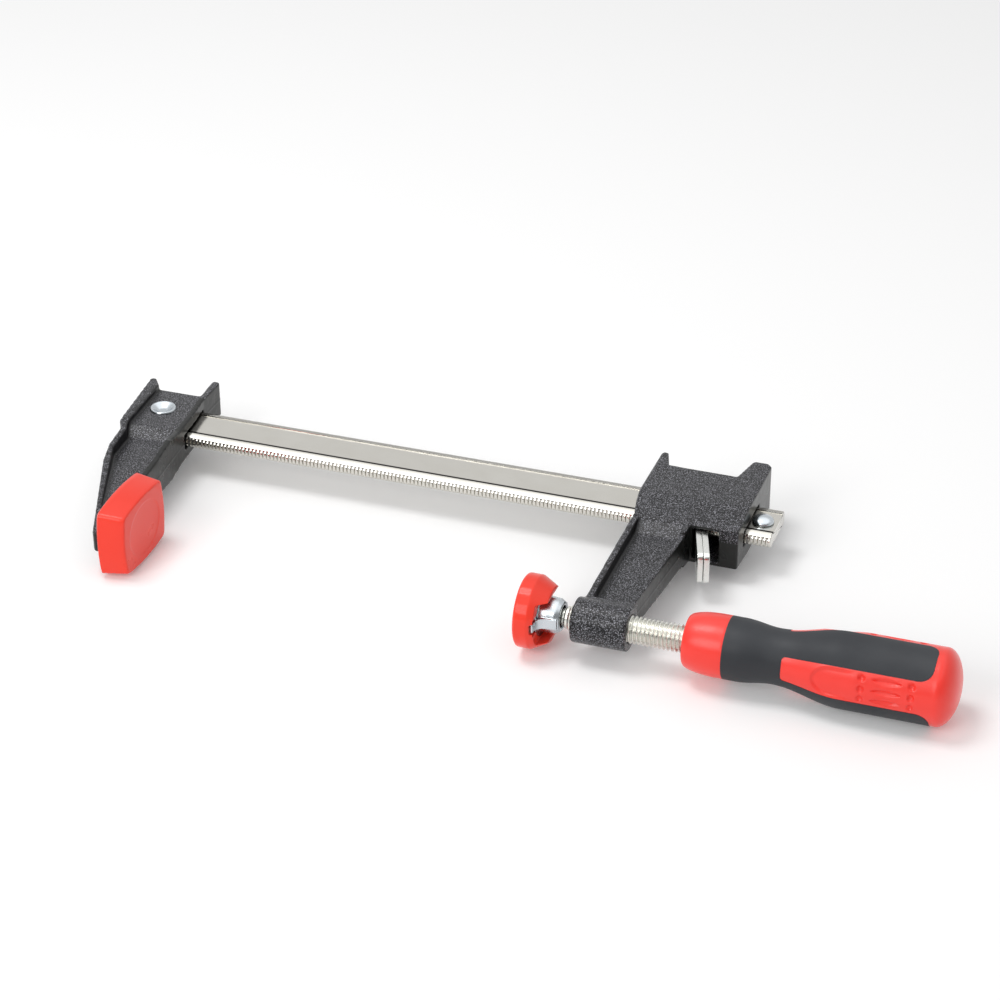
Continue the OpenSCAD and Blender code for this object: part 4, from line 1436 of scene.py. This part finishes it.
@dataclass
class ScrewHandle:
    """Two-colour handle: a hard red core and a soft black sleeve with three stripes."""

    finishes: Finishes
    x0: float = 214.9
    x1: float = 308.7
    collar_r: float = 10.95
    collar_len: float = 12.0
    collar_drop: float = 2.7
    narrow_x: float = 233.7
    butt_len: float = 6.9
    butt_r: float = 0.6
    waist_r: float = 9.6
    grip_r: float = 13.5
    mouth: tuple[Pair, ...] = ((1.2, 0.0), (1.2, 5.0), (0.25, 5.05), (0.0, 5.3))
    runs: tuple[tuple[float, ...], ...] = (
        (248.4, 252.0, 0.3), (252.0, 260.0, 0.8), (260.0, 301.6, 0.33),
    )
    ring_count: int = 252
    sleeve_x0: float = 229.4
    waist_x: float = 246.3
    panel_x0: float = 249.7
    swell_x: float = 270.2
    stripe_x1: float = 300.5
    stripe_deg: float = 34.0
    first_stripe: float = 111.0
    soft_t: float = 0.9
    soft_edge: float = 0.2
    proud: float = 0.12
    panel_corner: float = 1.3
    stripe_corner: float = 4.6
    row_deg: float = 16.3
    dimple_x: Pair = (277.5, 294.3)
    dimple_r: float = 1.2
    groove_x: Pair = (280.9, 291.1)
    groove_half: float = 1.15
    dimple_deep: float = 1.0
    relief: float = 0.8
    scoop_x: float = 267.0
    scoop_r: float = 5.75
    scoop_len: float = 7.0
    scoop_deep: float = 0.8
    scoop_wall: float = 1.1
    scoop_end: Pair = (276.0, 267.5)
    across: int = 44
    between: int = 16

    def radius(self, x: Points | float) -> Points:
        """Outer radius of the handle along its axis.

        Args:
            x: Places along the axis.

        Returns:
            The radius at each place.
        """
        x = np.asarray(x, float)
        ahead = ((self.x0 + self.collar_len - x) / self.collar_len).clip(0, 1)
        collar = self.collar_r - self.collar_drop * (1 - np.sqrt(1 - ahead**2))
        narrowing = (x - self.narrow_x) / (self.waist_x - self.narrow_x)
        waist = cosine_blend(self.collar_r, self.waist_r, narrowing)
        swelling = (x - self.waist_x) / (self.swell_x - self.waist_x)
        swell = cosine_blend(self.waist_r, self.grip_r, swelling)
        sine = ((x - self.x1 + self.butt_len) / self.butt_len).clip(0, 0.9848)
        butt = self.butt_r + (self.grip_r - self.butt_r) * np.sqrt(1 - sine**2)
        out = np.where(x < self.narrow_x, collar, np.where(x < self.waist_x, waist, swell))
        return np.minimum(out, butt)

    def red_half(self, x: float) -> float:
        """Half of the angle that a red panel takes, in degrees, with its rounded start."""
        side = SECTOR / 2 - self.stripe_deg
        return side - self.corner_cut(x, self.panel_corner, self.panel_x0 + self.panel_corner - x)

    def black_half(self, x: float) -> float:
        """Half of the angle that a black stripe takes, in degrees, with its rounded end."""
        past = x - (self.stripe_x1 - self.stripe_corner)
        return SECTOR / 2 - self.red_half(x) - self.corner_cut(x, self.stripe_corner, past)

    def corner_cut(self, x: float, corner: float, past: float) -> float:
        """Angle that a rounded corner takes off a panel or stripe.

        Args:
            x: Place along the axis.
            corner: The corner's radius.
            past: How far X lies inside the corner, or below 0 outside it.

        Returns:
            The angle in degrees.
        """
        cut = corner - math.sqrt(max(corner**2 - max(past, 0) ** 2, 0))
        return math.degrees(cut / float(self.radius(x)))

    def panel_relief(self, x: Points, degrees: Points) -> Points:
        """Depth of the thumb scoop, the dimples and the pointed grooves of the red panels.

        Args:
            x: Places along the axis.
            degrees: Angles around the axis, from a panel's middle.

        Returns:
            How far the surface is sunk there.
        """
        s = np.radians(degrees) * self.grip_r
        stretch = self.scoop_r / self.scoop_len
        left = np.hypot((x - self.scoop_x) * stretch, s) - self.scoop_r
        reach = np.where(x < self.scoop_x, left, np.abs(s) - self.scoop_r)
        scoop = self.scoop_deep * smoothstep(0.0, -self.scoop_wall, reach)
        depth = scoop * smoothstep(*self.scoop_end, x)
        for row in (-1, 0, 1):
            line = s - math.radians(self.row_deg) * self.grip_r * row
            for middle in self.dimple_x:
                away = np.hypot(x - middle, line) / self.dimple_r
                dimple = self.dimple_deep * np.sqrt(np.clip(1 - away**2, 0, 1))
                depth = np.maximum(depth, dimple)
            low, high = self.groove_x
            t = ((x - low) / (high - low)).clip(0, 1)
            width = self.groove_half * np.sin(np.pi * t) ** 0.8 + 1e-6
            groove = self.relief * (1 - np.abs(line) / width).clip(0, 1) ** 0.7 * (t > 0) * (t < 1)
            depth = np.maximum(depth, groove)
        return depth

    def core(self) -> None:
        """Builds the red core, sunk where the black lies on it."""
        left, right = self.sleeve_x0, self.stripe_x1
        collar_end, half = self.x0 + self.collar_len, SECTOR / 2
        runs = [np.arange(*run) for run in ((collar_end, self.runs[0][0], 0.8), *self.runs)]
        front = self.x0 + self.collar_len * (1 - np.cos(np.linspace(0, math.pi / 2, 24)))
        butt = self.x1 - self.butt_len * (1 - np.sin(np.linspace(0, 1.39, 24)))
        stations = np.unique(np.concatenate([front, *runs, butt]).round(4))
        angles = np.linspace(0, 360, self.ring_count, endpoint=False)
        to_stripe = np.abs((angles - self.first_stripe + half) % SECTOR - half)
        to_panel = (angles - self.first_stripe) % SECTOR - half
        rings = [self.round_ring(self.x0 + deep, r, angles) for deep, r in self.mouth]
        for x in stations:
            outer = float(self.radius(x))
            arc = np.radians(to_stripe - self.black_half(x)) * outer
            if x < self.panel_x0 + self.panel_corner:
                beside = np.radians((np.abs(to_panel) - half + self.stripe_deg).clip(0)) * outer
                arc = np.minimum(arc, -np.hypot(beside, max(self.panel_x0 - x, 0)))
            under = smoothstep(-0.4, -1.4, arc) * smoothstep(left + 0.4, left + 1.6, x)
            sunk = under * smoothstep(right - 0.4, right - 1.6, x) * (self.soft_t + 0.1)
            edge = smoothstep(left, left + 0.8, x) * smoothstep(right + 3, right, x) * self.proud
            relief = self.panel_relief(np.full(len(angles), x), to_panel)
            on_panel = (np.abs(to_panel) < self.red_half(x)) & (left < x < right)
            depth = edge + np.where(on_panel, relief, sunk)
            rings.append(self.round_ring(x, outer - depth, angles))
        end = float(stations[-1])
        for r in (0.9, 0.75, 0.5, 0.25, 0.0):
            x = end + (self.x1 - end) * (1 - r * r)
            rings.append(self.round_ring(x, self.radius(end) * r, angles))
        piece = solid("handle_core_red", *loft(rings, caps=False), sharp=60)
        finish_piece(piece, "handle_core", self.finishes.red)

    @staticmethod
    def round_ring(x: float, radii: Points | float, degrees: Points) -> Points:
        """One ring or arc of the handle.

        Args:
            x: Place along the axis.
            radii: The radius, or one for each angle.
            degrees: Angles around the axis, from +Y towards +Z.

        Returns:
            The ring's points.
        """
        turn = np.radians(degrees)
        return at_x(x, np.column_stack([AXIS_Y + radii * np.cos(turn), radii * np.sin(turn)]))

    def soft_grip(self) -> None:
        """Builds the black sleeve and its three stripes as one sheet, then thickens it."""
        start = self.black_half(self.panel_x0)
        arc = np.linspace(-start, start, self.across + 1)[:-1]
        gap = np.linspace(start, SECTOR - start, self.between + 1)[:-1]
        middles = [self.first_stripe + SECTOR * sector for sector in range(3)]
        degrees = np.concatenate([middle + part for middle in middles for part in (arc, gap)])
        count = len(degrees)
        sleeve_x = np.linspace(self.sleeve_x0, self.panel_x0, 28)
        points = [p for x in sleeve_x for p in self.round_ring(x, self.radius(x), degrees)]
        faces = strip_faces(len(sleeve_x), count, True)
        corner = 1 - np.cos(np.linspace(0, math.pi / 2, 7))
        low, high = self.panel_x0 + self.panel_corner, self.stripe_x1 - self.stripe_corner
        parts = (
            self.panel_x0 + self.panel_corner * corner,
            np.linspace(low, high, 66),
            self.stripe_x1 - self.stripe_corner * corner[::-1],
        )
        stripe_x = np.concatenate([part[1:] for part in parts])
        for sector, middle in enumerate(middles):
            first = (len(sleeve_x) - 1) * count + sector * count // 3
            before = range(first, first + self.across + 1)
            for x in stripe_x:
                half = self.black_half(x)
                turn = middle + np.linspace(-half, half, self.across + 1)
                row = range(len(points), len(points) + self.across + 1)
                points.extend(self.round_ring(x, self.radius(x), turn))
                faces += [(*before[i : i + 2], row[i + 1], row[i]) for i in range(self.across)]
                before = row
        piece = solid("handle_grip_black", np.array(points), faces)
        self.turn_out(piece.data)
        add_modifier(piece, "SOLIDIFY", thickness=self.soft_t * MM, offset=-1.0)
        limits = {"limit_method": "ANGLE", "angle_limit": 0.9}
        add_modifier(piece, "BEVEL", width=self.soft_edge * MM, segments=2, **limits)
        bake(piece)
        shade(piece.data, 60)
        finish_piece(piece, "handle_grip", self.finishes.black)

    @staticmethod
    def turn_out(mesh: Mesh) -> None:
        """Turns an open sheet's faces away from the spindle's axis.

        Args:
            mesh: The sheet's mesh, in the row frame.
        """
        axis = Vector(in_frame([[0.0, AXIS_Y, 0.0]])[0])
        with editing(mesh) as work:
            face = next(iter(work.faces))
            away = face.calc_center_median() - axis
            if face.normal.dot(Vector((0, away.y, away.z))) < 0:
                bmesh.ops.reverse_faces(work, faces=work.faces)

    def build(self) -> None:
        """Builds the core and the soft grip."""
        self.core()
        self.soft_grip()


# Studio --------------------------------------------------------------------------------------


@dataclass
class Studio:
    """Pale floor, soft light and the camera at the photograph's viewing angle."""

    focal_px: float = 2754.93
    frame_px: float = 1000.0
    sensor_mm: float = 36.0
    elevation: float = 0.52639
    azimuth: float = 0.33955
    roll: float = -0.00298
    eye: tuple[float, float, float] = (416.27, -831.04, 510.48)
    floor_m: float = 8.0
    floor_colour: str = "#F6F6F6"
    floor_white: float = 0.1  # what the camera's white lacks on the lit floor
    floor_gloss: float = 0.25
    room_even: float = 0.6
    room_low: Pair = (0.35, 0.95)
    room_high: float = 1.8

    def camera(self) -> None:
        """Puts the camera where the photograph was taken from."""
        level = np.array([-math.sin(self.azimuth), math.cos(self.azimuth), 0.0])
        up = np.array([0.0, 0.0, 1.0])
        right = np.cross(level, up)
        ahead = level * math.cos(self.elevation) - up * math.sin(self.elevation)
        over = np.cross(right, ahead)
        c, s = math.cos(self.roll), math.sin(self.roll)
        side, top = c * right + s * over, -s * right + c * over
        data = bpy.data.cameras.new("photo_camera")
        data.sensor_width = self.sensor_mm
        data.lens = self.focal_px / self.frame_px * self.sensor_mm
        data.clip_start, data.clip_end = 0.05, 50.0
        camera = link("photo_camera", data)
        axes = Matrix((side, top, -ahead)).transposed().to_4x4()
        camera.matrix_world = Matrix.Translation(Vector(in_frame([self.eye])[0])) @ axes
        bpy.context.scene.camera = camera

    def floor(self) -> None:
        """Lays the pale floor, which shows the background's white beside the shadows."""
        half = self.floor_m / 2
        mesh = bpy.data.meshes.new("floor")
        corners = [(-half, -half, 0), (half, -half, 0), (half, half, 0), (-half, half, 0)]
        mesh.from_pydata(corners, [], [(0, 1, 2, 3)])
        floor = link("floor", mesh)
        material = bpy.data.materials.new("painted_floor")
        material.use_nodes = True
        tree = material.node_tree
        tree.nodes.clear()
        path = add_node(tree, "ShaderNodeLightPath")
        seen = add_chain(
            tree,
            MATH,
            ("MAXIMUM", path.outputs["Is Camera Ray"], path.outputs["Is Transmission Ray"]),
            ("MULTIPLY", None, self.floor_white),
            ("MULTIPLY_ADD", path.outputs["Is Glossy Ray"], self.floor_gloss, None),
        )
        matt = add_node(tree, "ShaderNodeBsdfDiffuse", values={"Color": linear(self.floor_colour)})
        glow = add_node(tree, "ShaderNodeEmission", links={"Strength": seen})
        sum_of = {0: matt.outputs[0], 1: glow.outputs[0]}
        both = add_node(tree, "ShaderNodeAddShader", links=sum_of)
        add_node(tree, "ShaderNodeOutputMaterial", links={"Surface": both.outputs[0]})
        mesh.materials.append(material)

    @staticmethod
    def lamp(name: str, place: tuple[float, float, float], size: float, glow: float) -> None:
        """Hangs a square soft box that faces the clamp.

        Args:
            name: Name of the lamp.
            place: Where it hangs, in metres.
            size: Its side in metres.
            glow: How bright its face is, where 1 is as bright as white paper.
        """
        data = bpy.data.lights.new(name, "AREA")
        data.shape = "SQUARE"
        data.size = size
        data.energy = glow * math.pi * size * size
        lamp = link(name, data)
        lamp.location = place
        lamp.rotation_mode = "QUATERNION"
        lamp.rotation_quaternion = (-Vector(place)).to_track_quat("-Z", "Y")

    def room(self) -> None:
        """Lights the room evenly, white where the camera sees it and dimmer in front."""
        world = bpy.data.worlds.new("studio_room")
        bpy.context.scene.world = world
        world.use_nodes = True
        tree = world.node_tree
        tree.nodes.clear()
        path = add_node(tree, "ShaderNodeLightPath")
        way = add_node(tree, "ShaderNodeTexCoord").outputs["Generated"]
        parts = add_node(tree, "ShaderNodeSeparateXYZ", links={0: way})
        soft = {"interpolation_type": "SMOOTHSTEP"}
        low, high = self.room_low
        span = {"From Min": -0.75, "From Max": 0.35, "To Min": low, "To Max": high}
        behind = add_node(tree, RANGE, soft, span, {"Value": parts.outputs["Y"]})
        span = {"From Min": 0.45, "From Max": 0.85, "To Max": self.room_high}
        above = add_node(tree, RANGE, soft, span, {"Value": parts.outputs["Z"]})
        glow = add_chain(tree, MATH, ("MAXIMUM", behind.outputs[0], above.outputs[0]))
        kind = "ShaderNodeBackground"
        even = add_node(tree, kind, values={"Strength": self.room_even})
        mirror = add_node(tree, kind, links={"Strength": glow})
        white = add_node(tree, kind, values={"Strength": 1.0})
        for node in (even, mirror, white):
            node.inputs["Color"].default_value = (1.0, 1.0, 1.0, 1.0)
        ways = {0: path.outputs["Is Glossy Ray"], 1: even.outputs[0], 2: mirror.outputs[0]}
        shiny = add_node(tree, "ShaderNodeMixShader", links=ways)
        direct = ("MAXIMUM", path.outputs["Is Camera Ray"], path.outputs["Is Transmission Ray"])
        ways = {0: add_chain(tree, MATH, direct), 1: shiny.outputs[0], 2: white.outputs[0]}
        seen = add_node(tree, "ShaderNodeMixShader", links=ways)
        add_node(tree, "ShaderNodeOutputWorld", links={"Surface": seen.outputs[0]})

    def build(self) -> None:
        """Builds the whole studio."""
        bpy.context.scene.view_settings.view_transform = "Standard"
        self.floor()
        self.room()
        self.lamp("top_box", (-0.38, -0.08, 1.1), 0.42, 7.8)
        self.lamp("front_box", (-0.45, -1.2, 0.75), 0.7, 4.6)
        self.camera()


def main() -> None:
    """Builds the clamp, sub-assembly by sub-assembly, and then the studio."""
    logging.basicConfig(level=logging.INFO, format="%(name)s %(message)s", stream=sys.stdout)
    finishes = Finishes.make()
    for part in (NotchedBar, FixedHead, SlidingHead, ScrewDrive, SwivelFoot, ScrewHandle):
        part(finishes).build()
    Studio().build()


if __name__ == "__main__":
    main()
